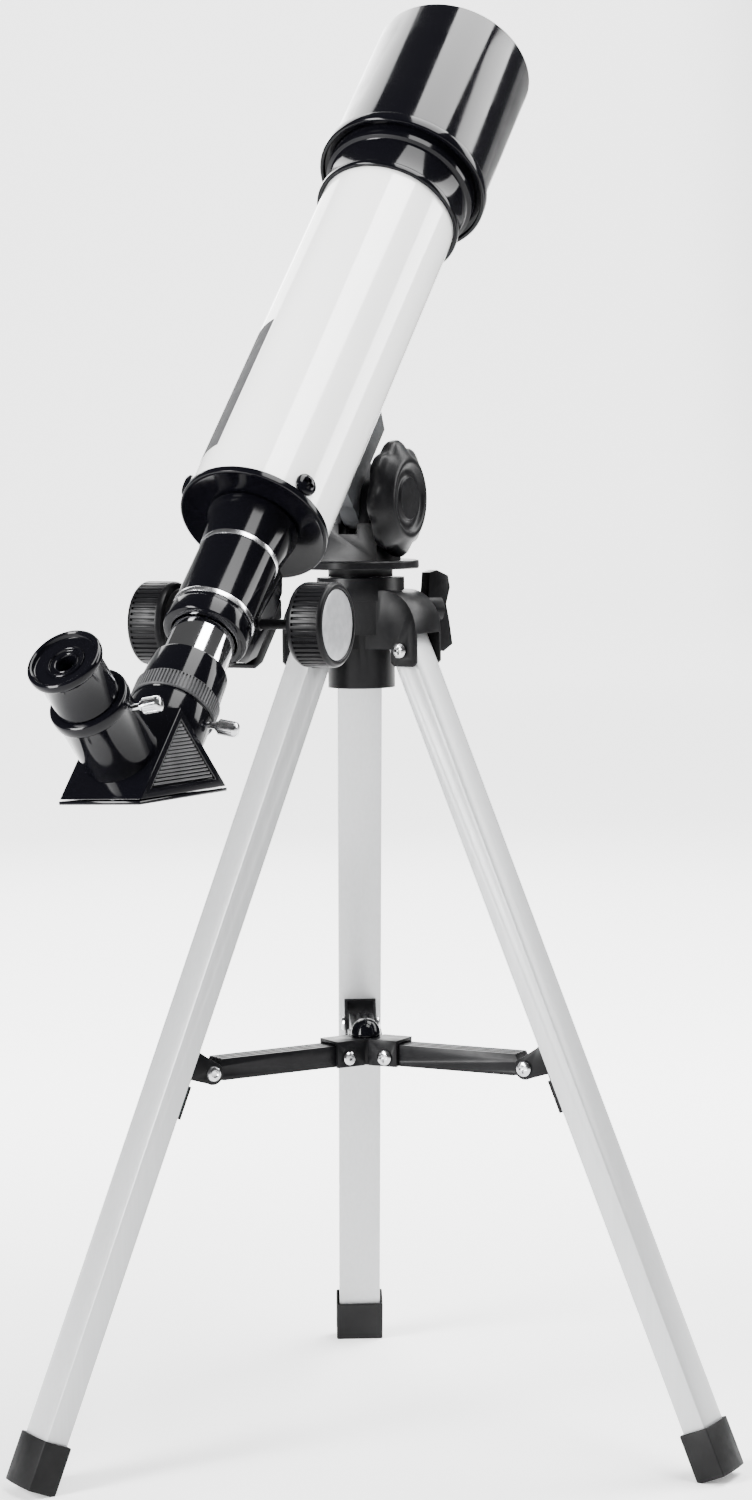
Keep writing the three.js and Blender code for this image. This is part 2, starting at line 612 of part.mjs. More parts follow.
// ---- legs ----
function buildLeg(name, turn) {
  const radial = new THREE.Group();
  radial.rotation.z = rad(turn);
  telescope.add(radial);
  const leg = new THREE.Group();
  leg.position.set(0, LEG_PIVOT_R, LEG_PIVOT_Z);
  leg.rotation.x = rad(SPLAY);
  radial.add(leg);

  const half = LEG_W / 2;
  const crownShares = [0.75, 0.4, 0, -0.4, -0.75];
  const outer = (grow, crown) => {
    const wide = half + grow;
    const deep = LEG_D / 2 + grow;
    return [
      [-wide, -deep], [wide, -deep], [wide, deep - 1.2],
      ...crownShares.map((share) => [share * wide, deep - crown * share * share]),
      [-wide, deep - 1.2],
    ];
  };
  let extrusion = prism(outer(0, 0.8), LEG_BOTTOM + 3, 7);
  extrusion = extrusion.subtract(box(
    [-half + LEG_WALL, -LEG_D / 2 + LEG_WALL, LEG_BOTTOM - 5],
    [half - LEG_WALL, LEG_D / 2 - LEG_WALL - 0.8, 10],
  ));
  extrusion = extrusion.subtract(rodX(2.1, -20, 20, TINY));
  add(leg, `leg_${name}`, extrusion, ALUMINIUM);

  const ground = box([-20, 100, -20], [20, 200, 0])
    .translate([0, -LEG_PIVOT_R, -LEG_PIVOT_Z])
    .rotate([-SPLAY, 0, 0]);
  const foot = prism(outer(FOOT_WALL, 1.4), LEG_BOTTOM, LEG_BOTTOM + FOOT_H)
    .subtract(prism(outer(GAP / 2, 0.8), LEG_BOTTOM + 2.7, LEG_BOTTOM + FOOT_H + 1))
    .subtract(ground);
  add(leg, `foot_${name}`, foot, SATIN_BLACK);

  const screw = rodX(1.8, -CLEVIS_HALF - 0.5, CLEVIS_HALF + 0.5, TINY)
    .add(rodX(3, -CLEVIS_HALF - 1.6, -CLEVIS_HALF - GAP, TINY + 4))
    .add(rodX(3, CLEVIS_HALF + GAP, CLEVIS_HALF + 1.6, TINY + 4))
    .translate([0, LEG_PIVOT_R, LEG_PIVOT_Z]);
  add(radial, `leg_screw_${name}`, screw, STEEL);
  buildBracket(name, leg);
  buildArm(name, radial);
}

// Sheet bracket on the leg's inner face: a tail plate and two ears around the arm's end.
function buildBracket(name, leg) {
  const along = -Math.hypot(77.6 - LEG_PIVOT_R, ARM_Z - LEG_PIVOT_Z);
  const lean = rad(SPLAY) - Math.atan2(77.6 - LEG_PIVOT_R, LEG_PIVOT_Z - ARM_Z);
  const pivot = [along * Math.sin(lean), along * Math.cos(lean)];
  const face = -LEG_D / 2 - GAP;
  const ear = prismX(
    [[face, pivot[1] + 6.5], [face, pivot[1] - 5.5], ...arc(pivot[0], pivot[1], 4.7, 280, 80, 10)].reverse(),
    -EAR_OUT, EAR_OUT,
  );
  const web = box([-EAR_OUT + 0.4, face - SHEET, pivot[1] - 9], [EAR_OUT - 0.4, face, pivot[1] + 6.5]);
  const tail = box([-EAR_OUT + 0.4, face - TAIL_T, pivot[1] - 22], [EAR_OUT - 0.4, face, pivot[1] - 8]);
  const gap = box([-EAR_IN, face - 30, pivot[1] - 9], [EAR_IN, face - SHEET, pivot[1] + 20]);
  const bore = rodX(1.9, -20, 20, TINY).translate([0, ...pivot]);
  const bracket = ear.subtract(gap).add(web).add(tail).subtract(bore);
  add(leg, `leg_bracket_${name}`, bracket, SATIN_BLACK);
  const screw = rodX(1.6, EAR_IN + 0.1, EAR_OUT + 0.6, TINY)
    .add(rodX(3.2, EAR_OUT + GAP, EAR_OUT + 1.7, TINY + 4));
  add(leg, `bracket_screw_${name}`, screw.translate([0, ...pivot]), STEEL);
}

// Channel arm between the hub and a leg bracket.
function buildArm(name, radial) {
  const from = HUB_PIVOT_R;
  const to = HUB_PIVOT_R + ARM_LENGTH;
  const low = ARM_Z - ARM_LOW;
  const high = ARM_Z + ARM_HIGH;
  let arm = prismX(
    [
      [from + 1, low], [to - 6, low], [to - 4, ARM_Z - 3.2], ...arc(to, ARM_Z, 3.2, -90, 90, 8),
      [to - 4, ARM_Z + 3.2], [to - 5, high], [from - 1.2, high],
      [from - 4, ARM_Z + 2], [from - 4, ARM_Z],
    ],
    -ARM_W / 2, ARM_W / 2,
  );
  arm = arm.subtract(box([-3.4, from + 6, low - 1], [3.4, to - 10, high - 2]));
  for (const groove of [-2.9, 0, 2.9]) {
    arm = arm.subtract(box([groove - 0.6, from + 3, high - 0.7], [groove + 0.6, to, high + 1]));
  }
  arm = arm.subtract(rodX(1.9, -20, 20, TINY).translate([0, from, ARM_Z]));
  arm = arm.subtract(rodX(1.9, -20, 20, TINY).translate([0, to, ARM_Z]));
  add(radial, `spreader_arm_${name}`, arm, SATIN_BLACK);
  const screw = rodX(1.6, -HUB_HALF - 0.6, HUB_HALF + 0.6, TINY)
    .add(rodX(3.2, -HUB_HALF - 1.6, -HUB_HALF - GAP, TINY + 4))
    .add(rodX(3.2, HUB_HALF + GAP, HUB_HALF + 1.6, TINY + 4))
    .translate([0, from, ARM_Z]);
  add(radial, `hub_screw_${name}`, screw, STEEL);
}

// Three-way hub: a cover plate with cheeks either side of each arm's inner end.
function buildHub() {
  const ceiling = ARM_Z + ARM_HIGH + 0.4;
  const top = ceiling + 1.4;
  const low = ARM_Z - ARM_LOW - 0.2;
  const cheekIn = ARM_W / 2 + 0.4;
  const cheeks = prismY(
    [
      [-HUB_HALF, low], [-cheekIn, low], [-cheekIn, ceiling], [cheekIn, ceiling],
      [cheekIn, low], [HUB_HALF, low], [HUB_HALF, top], [-HUB_HALF, top],
    ],
    5, 18.2,
  );
  const room = box([-cheekIn, 7.6, low - 5], [cheekIn, 20, ceiling]);
  const bore = rodX(1.9, -20, 20, TINY).translate([0, HUB_PIVOT_R, ARM_Z]);
  let hub = rodZ(7.6, low, top, FINE);
  for (const turn of [0, 120, 240]) {
    hub = hub.add(cheeks.rotate([0, 0, turn]));
  }
  for (const turn of [0, 120, 240]) {
    hub = hub.subtract(room.add(bore).rotate([0, 0, turn]));
  }
  hub = hub.subtract(rodZ(1.9, low - 5, top + 5, TINY));
  add(telescope, "spreader_hub", hub, SATIN_BLACK);
  const cap = revolve([
    [0, 0.3], [6.2, 0.3], [6.2, 1.6], ...arc(0, 1.6, 6, 15, 75, 4), [0, 7.6],
  ], FINE).rotate([90, 0, 0]).translate([0, 0, top]);
  add(telescope, "hub_cap", cap.add(rodZ(1.6, low + 1, top + 2, TINY)), GLOSS_BLACK);
}

buildHead();
buildAzimuthLock();
buildFork();
buildAltitudeKnob();
buildObjective();
buildTube();
buildSaddle();
buildFocuser();
buildDrawtube();
buildDiagonal();
buildEyepiece();
LEG_NAMES.forEach((name, i) => buildLeg(name, i * 120));
buildHub();

export default telescope;
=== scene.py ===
import json
import math

import bpy
from mathutils import Matrix, Vector

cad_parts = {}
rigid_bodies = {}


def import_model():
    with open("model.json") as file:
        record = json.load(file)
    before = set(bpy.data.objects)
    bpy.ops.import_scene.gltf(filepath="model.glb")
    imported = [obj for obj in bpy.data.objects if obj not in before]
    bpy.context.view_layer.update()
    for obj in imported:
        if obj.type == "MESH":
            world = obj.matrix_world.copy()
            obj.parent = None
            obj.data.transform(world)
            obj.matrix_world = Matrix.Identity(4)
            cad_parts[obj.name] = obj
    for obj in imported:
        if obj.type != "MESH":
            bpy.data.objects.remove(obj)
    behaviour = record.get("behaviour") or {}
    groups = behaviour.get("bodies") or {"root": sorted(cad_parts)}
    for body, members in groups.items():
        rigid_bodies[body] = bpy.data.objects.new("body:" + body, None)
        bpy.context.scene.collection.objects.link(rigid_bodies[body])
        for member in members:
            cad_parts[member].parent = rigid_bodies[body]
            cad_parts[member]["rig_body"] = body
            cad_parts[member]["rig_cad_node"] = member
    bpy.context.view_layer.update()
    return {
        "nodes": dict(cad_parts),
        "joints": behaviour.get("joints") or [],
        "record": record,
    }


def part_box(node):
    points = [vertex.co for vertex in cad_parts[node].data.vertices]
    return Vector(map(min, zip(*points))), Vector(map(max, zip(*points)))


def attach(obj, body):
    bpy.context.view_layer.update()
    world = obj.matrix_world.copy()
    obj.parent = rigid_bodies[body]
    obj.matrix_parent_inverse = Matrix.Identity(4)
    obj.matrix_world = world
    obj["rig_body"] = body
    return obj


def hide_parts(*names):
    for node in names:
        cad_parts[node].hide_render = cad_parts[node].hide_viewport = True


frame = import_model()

bl_info = {
    "name": "Tabletop Telescope",
    "version": (1, 0, 0),
    "blender": (4, 5, 0),
    "location": "View3D > Sidebar > Telescope",
    "description": "Finished pieces of a small refractor on a folding tripod",
    "category": "Add Mesh",
}

MM = 0.001
UP = Vector((0.0, 0.0, 1.0))
JOINTS = {joint["name"]: joint for joint in frame["joints"]}
BODIES = frame["record"]["behaviour"]["bodies"]
BODY_OF = {node: body for body, nodes in BODIES.items() for node in nodes}
LEGS = ("back", "left", "right")
MATERIALS = {}  # by short name, filled in by MakeMaterials

# Sizes in millimetres. A station is a place along the optical axis, counted from the rear
# cap's outer face towards the lens.
CAP_BEHIND_PIVOT = 76.8
AXIS_ABOVE_PIVOT = 62.5
EYEPIECE_STATION = -133.5
HOLDER_SCREW_STATION = -100.0
CAP_SCREW_STATION = 7.5
CAP_SCREW_TURNS = (30, 150, 270)  # degrees round the tube
TUBE_RADIUS = 29.0

SHARP_ANGLE = 32.0  # degrees past which an edge is rounded and shaded sharp


# ---- where things are ----

def axis_of(joint):
    """A joint's axis as a unit vector."""
    return Vector(JOINTS[joint]["axis"]).normalized()


def place_of(joint):
    """Where a joint is, in metres."""
    return Vector(JOINTS[joint]["pos_m"])


def place(origin, turned_axis, side):
    """A frame whose Z runs along turned_axis and whose X leans towards side."""
    z = turned_axis.normalized()
    y = z.cross(side).normalized()
    x = y.cross(z)
    turn = Matrix((x, y, z)).transposed().to_4x4()
    return Matrix.Translation(origin) @ turn


ALONG = axis_of("diagonal_turn")
ACROSS = axis_of("altitude")
ABOVE = ACROSS.cross(ALONG)
PIVOT = place_of("altitude")
CAP_FACE = PIVOT - ALONG * CAP_BEHIND_PIVOT * MM + ABOVE * AXIS_ABOVE_PIVOT * MM
TUBE = place(CAP_FACE, ALONG, ACROSS)
EYEPIECE_UP = axis_of("eyepiece_slide")
DIAGONAL_SIDE = ALONG.cross(EYEPIECE_UP)
SLEEVE = place(CAP_FACE + ALONG * EYEPIECE_STATION * MM, EYEPIECE_UP, DIAGONAL_SIDE)
DIAGONAL = place(CAP_FACE, DIAGONAL_SIDE, ALONG)
SHAFT = place(place_of("focus"), ACROSS, ALONG)
KNOB = place(PIVOT, ACROSS, ALONG)
STAND = Vector((PIVOT.x, PIVOT.y, 0.0))
UPRIGHT = Matrix.Translation(STAND)


# ---- finishes ----

def new_material(name, color, roughness, metallic=0.0):
    """A Principled material with its nodes, and the shader that they feed."""
    material = bpy.data.materials.new(name)
    material.use_nodes = True
    shader = material.node_tree.nodes["Principled BSDF"]
    shader.inputs["Base Color"].default_value = (*color, 1.0)
    shader.inputs["Roughness"].default_value = roughness
    shader.inputs["Metallic"].default_value = metallic
    return material, shader


def add_node(material, kind, **inputs):
    """A shader node with these inputs set, each named with _ for a space."""
    node = material.node_tree.nodes.new(kind)
    for name, value in inputs.items():
        node.inputs[name.replace("_", " ")].default_value = value
    return node


def noise_in(material, scale, detail=3.0, stretch=(1, 1, 1), turn=(0, 0, 0)):
    """Noise on the piece's own coordinates, in cycles per metre."""
    links = material.node_tree.links
    coordinates = add_node(material, "ShaderNodeTexCoord")
    mapping = add_node(material, "ShaderNodeMapping", Scale=stretch, Rotation=turn)
    noise = add_node(material, "ShaderNodeTexNoise", Scale=scale, Detail=detail)
    links.new(coordinates.outputs["Object"], mapping.inputs["Vector"])
    links.new(mapping.outputs["Vector"], noise.inputs["Vector"])
    return noise


def spread(material, noise, socket, low, high):
    """Lets the noise, nearly all of it, move a shader socket between two values."""
    nodes = material.node_tree.nodes
    links = material.node_tree.links
    reach = add_node(
        material, "ShaderNodeMapRange", From_Min=0.3, From_Max=0.7, To_Min=low, To_Max=high,
    )
    links.new(noise.outputs["Fac"], reach.inputs["Value"])
    links.new(reach.outputs["Result"], nodes["Principled BSDF"].inputs[socket])


def tint(material, noise, dark, light):
    """Lets the noise move the base colour between two shades."""
    nodes = material.node_tree.nodes
    links = material.node_tree.links
    ramp = nodes.new("ShaderNodeValToRGB")
    ramp.color_ramp.elements[0].position = 0.35
    ramp.color_ramp.elements[0].color = (*dark, 1.0)
    ramp.color_ramp.elements[1].position = 0.65
    ramp.color_ramp.elements[1].color = (*light, 1.0)
    links.new(noise.outputs["Fac"], ramp.inputs["Fac"])
    links.new(ramp.outputs["Color"], nodes["Principled BSDF"].inputs["Base Color"])


def grain(material, noise, strength, depth):
    """Lets the noise raise the surface by about depth metres."""
    nodes = material.node_tree.nodes
    links = material.node_tree.links
    bump = add_node(material, "ShaderNodeBump", Strength=strength, Distance=depth)
    links.new(noise.outputs["Fac"], bump.inputs["Height"])
    links.new(bump.outputs["Normal"], nodes["Principled BSDF"].inputs["Normal"])


def shaded(color, factor):
    """A colour made darker or lighter."""
    return tuple(min(1.0, part * factor) for part in color)


def gloss_black(finishes):
    """Glossy black plastic, with a faint ripple in its shine."""
    material, shader = new_material("gloss_black", finishes.gloss_black, 0.1)
    shader.inputs["Specular IOR Level"].default_value = 0.14
    cloud = noise_in(material, 60.0)
    spread(material, cloud, "Roughness", 0.07, 0.14)
    grain(material, noise_in(material, 420.0), 0.02, 0.0001)
    return material


def black_plastic(name, color):
    """Moulded black plastic with a fine satin grain."""
    material, shader = new_material(name, color, 0.34)
    shader.inputs["Specular IOR Level"].default_value = 0.1
    tint(material, noise_in(material, 90.0), shaded(color, 0.8), shaded(color, 1.25))
    spread(material, noise_in(material, 240.0), "Roughness", 0.28, 0.38)
    grain(material, noise_in(material, 3500.0, 2.0), 0.12, 0.00005)
    return material


def foot_rubber(finishes):
    """Dull black rubber, scuffed a little paler in patches."""
    material, shader = new_material("foot_rubber", finishes.rubber, 0.55)
    shader.inputs["Specular IOR Level"].default_value = 0.12
    scuffs = noise_in(material, 70.0, 6.0)
    tint(material, scuffs, finishes.rubber, shaded(finishes.rubber, 1.6))
    spread(material, noise_in(material, 150.0), "Roughness", 0.42, 0.6)
    grain(material, noise_in(material, 2200.0), 0.18, 0.00008)
    return material


def white_enamel(finishes):
    """Stoved white enamel under a clear, slightly rippled shine."""
    white = finishes.white_enamel
    material, shader = new_material("white_enamel", white, 0.12)
    shader.inputs["Coat Weight"].default_value = 0.7
    shader.inputs["Coat Roughness"].default_value = 0.05
    tint(material, noise_in(material, 12.0), shaded(white, 0.985), white)
    spread(material, noise_in(material, 40.0), "Roughness", 0.1, 0.16)
    grain(material, noise_in(material, 380.0), 0.02, 0.0001)
    return material


def brushed_aluminium(finishes, leg):
    """Satin anodised aluminium, drawn lengthwise along one leg."""
    material, _ = new_material(f"anodised_{leg}", finishes.aluminium, 0.42, 0.3)
    low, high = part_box(f"leg_{leg}")
    run = (low + high) / 2 - STAND
    fall = Vector((run.x, run.y, (low.z - high.z) / 2)).normalized()
    turn = fall.to_track_quat("Z", "Y").inverted().to_euler()
    streaks = noise_in(material, 900.0, 2.0, (1.0, 1.0, 0.02), turn)
    tint(material, streaks, shaded(finishes.aluminium, 0.94), finishes.aluminium)
    spread(material, streaks, "Roughness", 0.36, 0.46)
    grain(material, streaks, 0.05, 0.00005)
    return material


def bright_metal(name, color, roughness, scale):
    """Polished or plated metal with small changes in its shine."""
    material, _ = new_material(name, color, roughness, 1.0)
    cloud = noise_in(material, scale)
    spread(material, cloud, "Roughness", roughness * 0.7, roughness * 1.4)
    tint(material, cloud, shaded(color, 0.95), color)
    return material


def foil(finishes):
    """Crinkled self-adhesive foil."""
    material, _ = new_material("foil", finishes.foil, 0.3, 0.5)
    crinkle = noise_in(material, 330.0, 6.0)
    grain(material, crinkle, 0.25, 0.0005)
    tint(material, crinkle, shaded(finishes.foil, 0.82), finishes.foil)
    return material


def blank_label(finishes):
    """A plain grey strip of plastic film."""
    material, shader = new_material("blank_label", finishes.label, 0.6)
    shader.inputs["Specular IOR Level"].default_value = 0.1
    tint(material, noise_in(material, 35.0), shaded(finishes.label, 0.9), finishes.label)
    spread(material, noise_in(material, 200.0), "Roughness", 0.5, 0.65)
    return material


def grey_metal(finishes):
    """Dull grey metal with a fine grain."""
    material, _ = new_material("grey_metal", finishes.grey_metal, 0.35, 0.3)
    spread(material, noise_in(material, 300.0), "Roughness", 0.28, 0.42)
    grain(material, noise_in(material, 1800.0), 0.08, 0.00005)
    return material


def coated_glass(name, color):
    """Clear optical glass with a coloured anti-reflection coat."""
    material, shader = new_material(name, color, 0.01)
    shader.inputs["Transmission Weight"].default_value = 0.9
    shader.inputs["IOR"].default_value = 1.52
    shader.inputs["Coat Weight"].default_value = 1.0
    shader.inputs["Coat Tint"].default_value = (0.35, 0.6, 0.5, 1.0)
    spread(material, noise_in(material, 30.0), "Roughness", 0.0, 0.02)
    return material


# ---- modelling by hand, in code ----

def fresh():
    """Object mode with nothing selected."""
    if bpy.context.object and bpy.context.object.mode != "OBJECT":
        bpy.ops.object.mode_set(mode="OBJECT")
    bpy.ops.object.select_all(action="DESELECT")


def only(piece):
    """Selects one object and makes it active."""
    fresh()
    piece.select_set(True)
    bpy.context.view_layer.objects.active = piece


def move_mesh(piece, matrix):
    """Moves a piece's mesh, so that its object can stay at the origin."""
    piece.data.transform(matrix)
    piece.data.update()


def apply_modifier(piece, kind, **settings):
    """Adds a modifier with these settings and applies it."""
    only(piece)
    modifier = piece.modifiers.new(kind.title(), kind)
    for setting, value in settings.items():
        setattr(modifier, setting, value)
    bpy.ops.object.modifier_apply(modifier=modifier.name)


def soften(piece, width, segments=2):
    """Rounds a piece's sharp edges by width millimetres and shades it smooth between them."""
    angle = math.radians(SHARP_ANGLE)
    if width > 0:
        apply_modifier(
            piece, "BEVEL", width=width * MM, segments=segments, limit_method="ANGLE",
            angle_limit=angle, use_clamp_overlap=True, harden_normals=False,
        )
    only(piece)
    bpy.ops.object.shade_smooth_by_angle(angle=angle)


def cut(piece, cutter, operation="DIFFERENCE"):
    """Cuts one piece with another, or joins them, and removes the cutter."""
    apply_modifier(piece, "BOOLEAN", object=cutter, operation=operation, solver="EXACT")
    bpy.data.objects.remove(cutter)


def select_faces(piece, wanted):
    """Selects, in edit mode, the faces for which wanted(face) is true."""
    only(piece)
    bpy.ops.object.mode_set(mode="EDIT")
    bpy.ops.mesh.select_mode(type="FACE")
    bpy.ops.mesh.select_all(action="DESELECT")
    bpy.ops.object.mode_set(mode="OBJECT")
    for face in piece.data.polygons:
        face.select = wanted(face)
    bpy.ops.object.mode_set(mode="EDIT")


def turn_profile(name, profile, segments=96):
    """A shape turned about Z, from its (radius, height) steps in millimetres."""
    fresh()
    radius, height = profile[0]
    bpy.ops.mesh.primitive_circle_add(
        vertices=segments, radius=radius * MM, location=(0, 0, height * MM),
    )
    piece = bpy.context.object
    piece.name = name
    bpy.ops.object.transform_apply(location=True)
    bpy.ops.object.mode_set(mode="EDIT")
    bpy.ops.mesh.select_mode(type="VERT")
    bpy.ops.mesh.select_all(action="SELECT")
    for (r0, z0), (r1, z1) in zip(profile, profile[1:]):
        rise = (0, 0, (z1 - z0) * MM)
        bpy.ops.mesh.extrude_region_move(TRANSFORM_OT_translate={"value": rise})
        if r1 != r0:
            growth = r1 / r0
            bpy.ops.transform.resize(
                value=(growth, growth, 1), center_override=(0, 0, z1 * MM),
            )
    bpy.ops.mesh.select_all(action="SELECT")
    bpy.ops.mesh.remove_doubles(threshold=0.00002)
    bpy.ops.mesh.normals_make_consistent(inside=False)
    bpy.ops.object.mode_set(mode="OBJECT")
    return piece


def ring(name, profile, segments=96):
    """A hollow turned piece, whose profile closes on itself."""
    return turn_profile(name, [*profile, profile[0]], segments)


def solid_of_turning(name, profile, segments=96):
    """A solid turned piece, whose profile starts and ends on the axis."""
    tip = 0.01
    closed = [(max(radius, tip), height) for radius, height in profile]
    return turn_profile(name, closed, segments)


def extruded(name, outline, low, high):
    """A plate with this outline in X and Y, from low to high in Z, in millimetres."""
    fresh()
    bpy.ops.mesh.primitive_circle_add(vertices=len(outline), radius=0.01, fill_type="NGON")
    piece = bpy.context.object
    piece.name = name
    for vertex, (x, y) in zip(piece.data.vertices, outline):
        vertex.co = (x * MM, y * MM, low * MM)
    bpy.ops.object.mode_set(mode="EDIT")
    bpy.ops.mesh.select_all(action="SELECT")
    rise = (0, 0, (high - low) * MM)
    bpy.ops.mesh.extrude_region_move(TRANSFORM_OT_translate={"value": rise})
    bpy.ops.mesh.select_all(action="SELECT")
    bpy.ops.mesh.normals_make_consistent(inside=False)
    bpy.ops.object.mode_set(mode="OBJECT")
    return piece


def block(name, low, high):
    """A block from its lowest to its highest corner, in millimetres."""
    (x0, y0, z0), (x1, y1, z1) = low, high
    return extruded(name, [(x0, y0), (x1, y0), (x1, y1), (x0, y1)], z0, z1)


def arc(radius, start, end, steps):
    """Points on an arc round the axis, between two angles in degrees."""
    angles = [math.radians(start + (end - start) * i / steps) for i in range(steps + 1)]
    return [(radius * math.cos(angle), radius * math.sin(angle)) for angle in angles]


def copied(node, name):
    """A copy of a CAD node with its facets merged, left in edit mode with everything selected."""
    only(frame["nodes"][node])
    bpy.ops.object.duplicate()
    piece = bpy.context.object
    piece.name = name
    piece.parent = None
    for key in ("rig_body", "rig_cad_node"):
        if key in piece:
            del piece[key]
    piece.data.materials.clear()
    bpy.ops.object.mode_set(mode="EDIT")
    bpy.ops.mesh.select_all(action="SELECT")
    bpy.ops.mesh.customdata_custom_splitnormals_clear()
    bpy.ops.mesh.remove_doubles(threshold=0.00001)
    bpy.ops.mesh.dissolve_limited(angle_limit=math.radians(0.6))
    return piece


def refined(node, width, material, segments=2):
    """Puts a copy of a CAD node, with its edges rounded, in the node's stead."""
    piece = copied(node, f"{node}_finished")
    bpy.ops.object.mode_set(mode="OBJECT")
    soften(piece, width, segments)
    finish(piece, BODY_OF[node], node)
    dress(piece, material)


def rib_round(piece, radius, low, high, count, depth):
    """Sinks every other face of a turned band, which leaves count ribs."""
    step = math.pi / count
    wall, tolerance = 0.12, 0.5

    def in_groove(face):
        middle = face.center
        upright = abs(face.normal.z) < 0.1
        near = abs(math.hypot(middle.x, middle.y) - radius * MM) < tolerance * MM
        inside = low * MM < middle.z < high * MM and near
        number = int((math.atan2(middle.y, middle.x) + 2 * math.pi) / step)
        return upright and inside and number % 2 == 0

    select_faces(piece, in_groove)
    bpy.ops.mesh.inset(thickness=wall * MM, depth=-depth * MM, use_individual=True)
    bpy.ops.object.mode_set(mode="OBJECT")


def finish(piece, body, *nodes):
    """Ties a finished piece to its body and hides the CAD nodes that it stands for."""
    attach(piece, body)
    if nodes:
        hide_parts(*nodes)


def dress(piece, material):
    """Gives a piece a material, by its short name."""
    piece.data.materials.clear()
    piece.data.materials.append(MATERIALS[material])


def made(piece, matrix, body, material, nodes=(), round_off=0.0):
    """Softens a piece, puts it in its place and hands it over."""
    soften(piece, round_off)
    move_mesh(piece, matrix)
    dress(piece, material)
    finish(piece, body, *nodes)
    return piece


def joined(pieces, name):
    """Joins several objects into one."""
    fresh()
    for piece in pieces:
        piece.select_set(True)
    bpy.context.view_layer.objects.active = pieces[0]
    bpy.ops.object.join()
    piece = bpy.context.object
    piece.name = name
    return piece


# ---- what a user would change ----

def length(name, description, millimetres):
    """A length that a user can change."""
    return bpy.props.FloatProperty(
        name=name, description=description, default=millimetres * MM,
        unit="LENGTH", subtype="DISTANCE", precision=4,
    )


def paint_colour(name, description, default):
    """A colour that a user can change."""
    return bpy.props.FloatVectorProperty(
        name=name, description=description, default=default,
        subtype="COLOR", size=3, min=0.0, max=1.0,
    )


class TelescopeSizes(bpy.types.PropertyGroup):
    """Sizes of the finished details."""

    shield_radius: length("Dew shield radius", "Outside of the dew shield", 34.6)
    flange_radius: length("Flange radius", "Outside of the ring behind the dew shield", 36.6)
    focus_knob_radius: length("Focus knob radius", "Outside of the ribbed focus knobs", 16.5)
    foil_radius: length("Foil radius", "Foil disc on each focus knob", 13.6)
    altitude_knob_radius: length("Altitude knob radius", "Tips of the lobed altitude knob", 24.3)
    moulding_round: length("Moulding round", "Rounding of moulded plastic edges", 0.6)
    metal_round: length("Metal round", "Rounding of cut metal edges", 0.25)
    focus_ribs: bpy.props.IntProperty(
        name="Focus ribs", description="Ribs round each focus knob", default=44, min=12, max=90,
    )
    collar_ribs: bpy.props.IntProperty(
        name="Collar ribs", description="Ribs round the drawtube's collar", default=76, min=24, max=120,
    )


class TelescopeFinishes(bpy.types.PropertyGroup):
    """Colours of the paints, plastics and metals."""

    gloss_black: paint_colour("Gloss black", "Dew shield, focuser and diagonal", (0.002, 0.002, 0.003))
    black_plastic: paint_colour("Black plastic", "Head, fork and knobs", (0.004, 0.004, 0.0045))
    # The ribs' colour is much lighter than the black plastic: a painted highlight on the rib edges.
    ribs: paint_colour("Ribs with painted highlight", "Ribs of the collar and the diagonal", (0.05, 0.05, 0.052))
    rubber: paint_colour("Foot rubber", "Feet of the tripod", (0.004, 0.004, 0.0042))
    white_enamel: paint_colour("White enamel", "Main tube", (0.86, 0.86, 0.85))
    aluminium: paint_colour("Aluminium", "Tripod legs", (0.42, 0.425, 0.43))
    chrome: paint_colour("Chrome", "Drawtube", (0.82, 0.82, 0.84))
    steel: paint_colour("Steel", "Screws", (0.5, 0.5, 0.51))
    brass: paint_colour("Brass", "Pinion", (0.6, 0.42, 0.17))
    foil: paint_colour("Foil", "Discs on the focus knobs", (0.42, 0.425, 0.44))
    label: paint_colour("Label", "Plain strip on the main tube", (0.05, 0.05, 0.052))
    glass: paint_colour("Glass", "Lenses", (0.85, 0.92, 0.9))
    grey_metal: paint_colour("Grey metal", "Bar under the tube", (0.05, 0.052, 0.055))


class MakeMaterials(bpy.types.Operator):
    """Make the paints, plastics, metals and glass"""

    bl_idname = "telescope.make_materials"
    bl_label = "Materials"

    def execute(self, context):
        finishes = context.scene.telescope_finishes
        MATERIALS["gloss"] = gloss_black(finishes)
        MATERIALS["plastic"] = black_plastic("black_plastic", finishes.black_plastic)
        # The ribs get the lighter colour above: a painted highlight on their edges.
        MATERIALS["ribs"] = black_plastic("ribbed_plastic", finishes.ribs)
        MATERIALS["rubber"] = foot_rubber(finishes)
        MATERIALS["enamel"] = white_enamel(finishes)
        for leg in LEGS:
            MATERIALS[f"leg_{leg}"] = brushed_aluminium(finishes, leg)
        MATERIALS["chrome"] = bright_metal("chrome", finishes.chrome, 0.06, 80.0)
        MATERIALS["steel"] = bright_metal("steel", finishes.steel, 0.18, 400.0)
        MATERIALS["silver_ring"] = bright_metal("silver_ring", finishes.chrome, 0.2, 200.0)
        MATERIALS["brass"] = bright_metal("brass", finishes.brass, 0.25, 300.0)
        MATERIALS["foil"] = foil(finishes)
        MATERIALS["label"] = blank_label(finishes)
        MATERIALS["glass"] = coated_glass("lens_glass", finishes.glass)
        MATERIALS["mirror"] = bright_metal("mirror_face", (0.9, 0.9, 0.92), 0.02, 20.0)
        MATERIALS["grey"] = grey_metal(finishes)
        return {"FINISHED"}


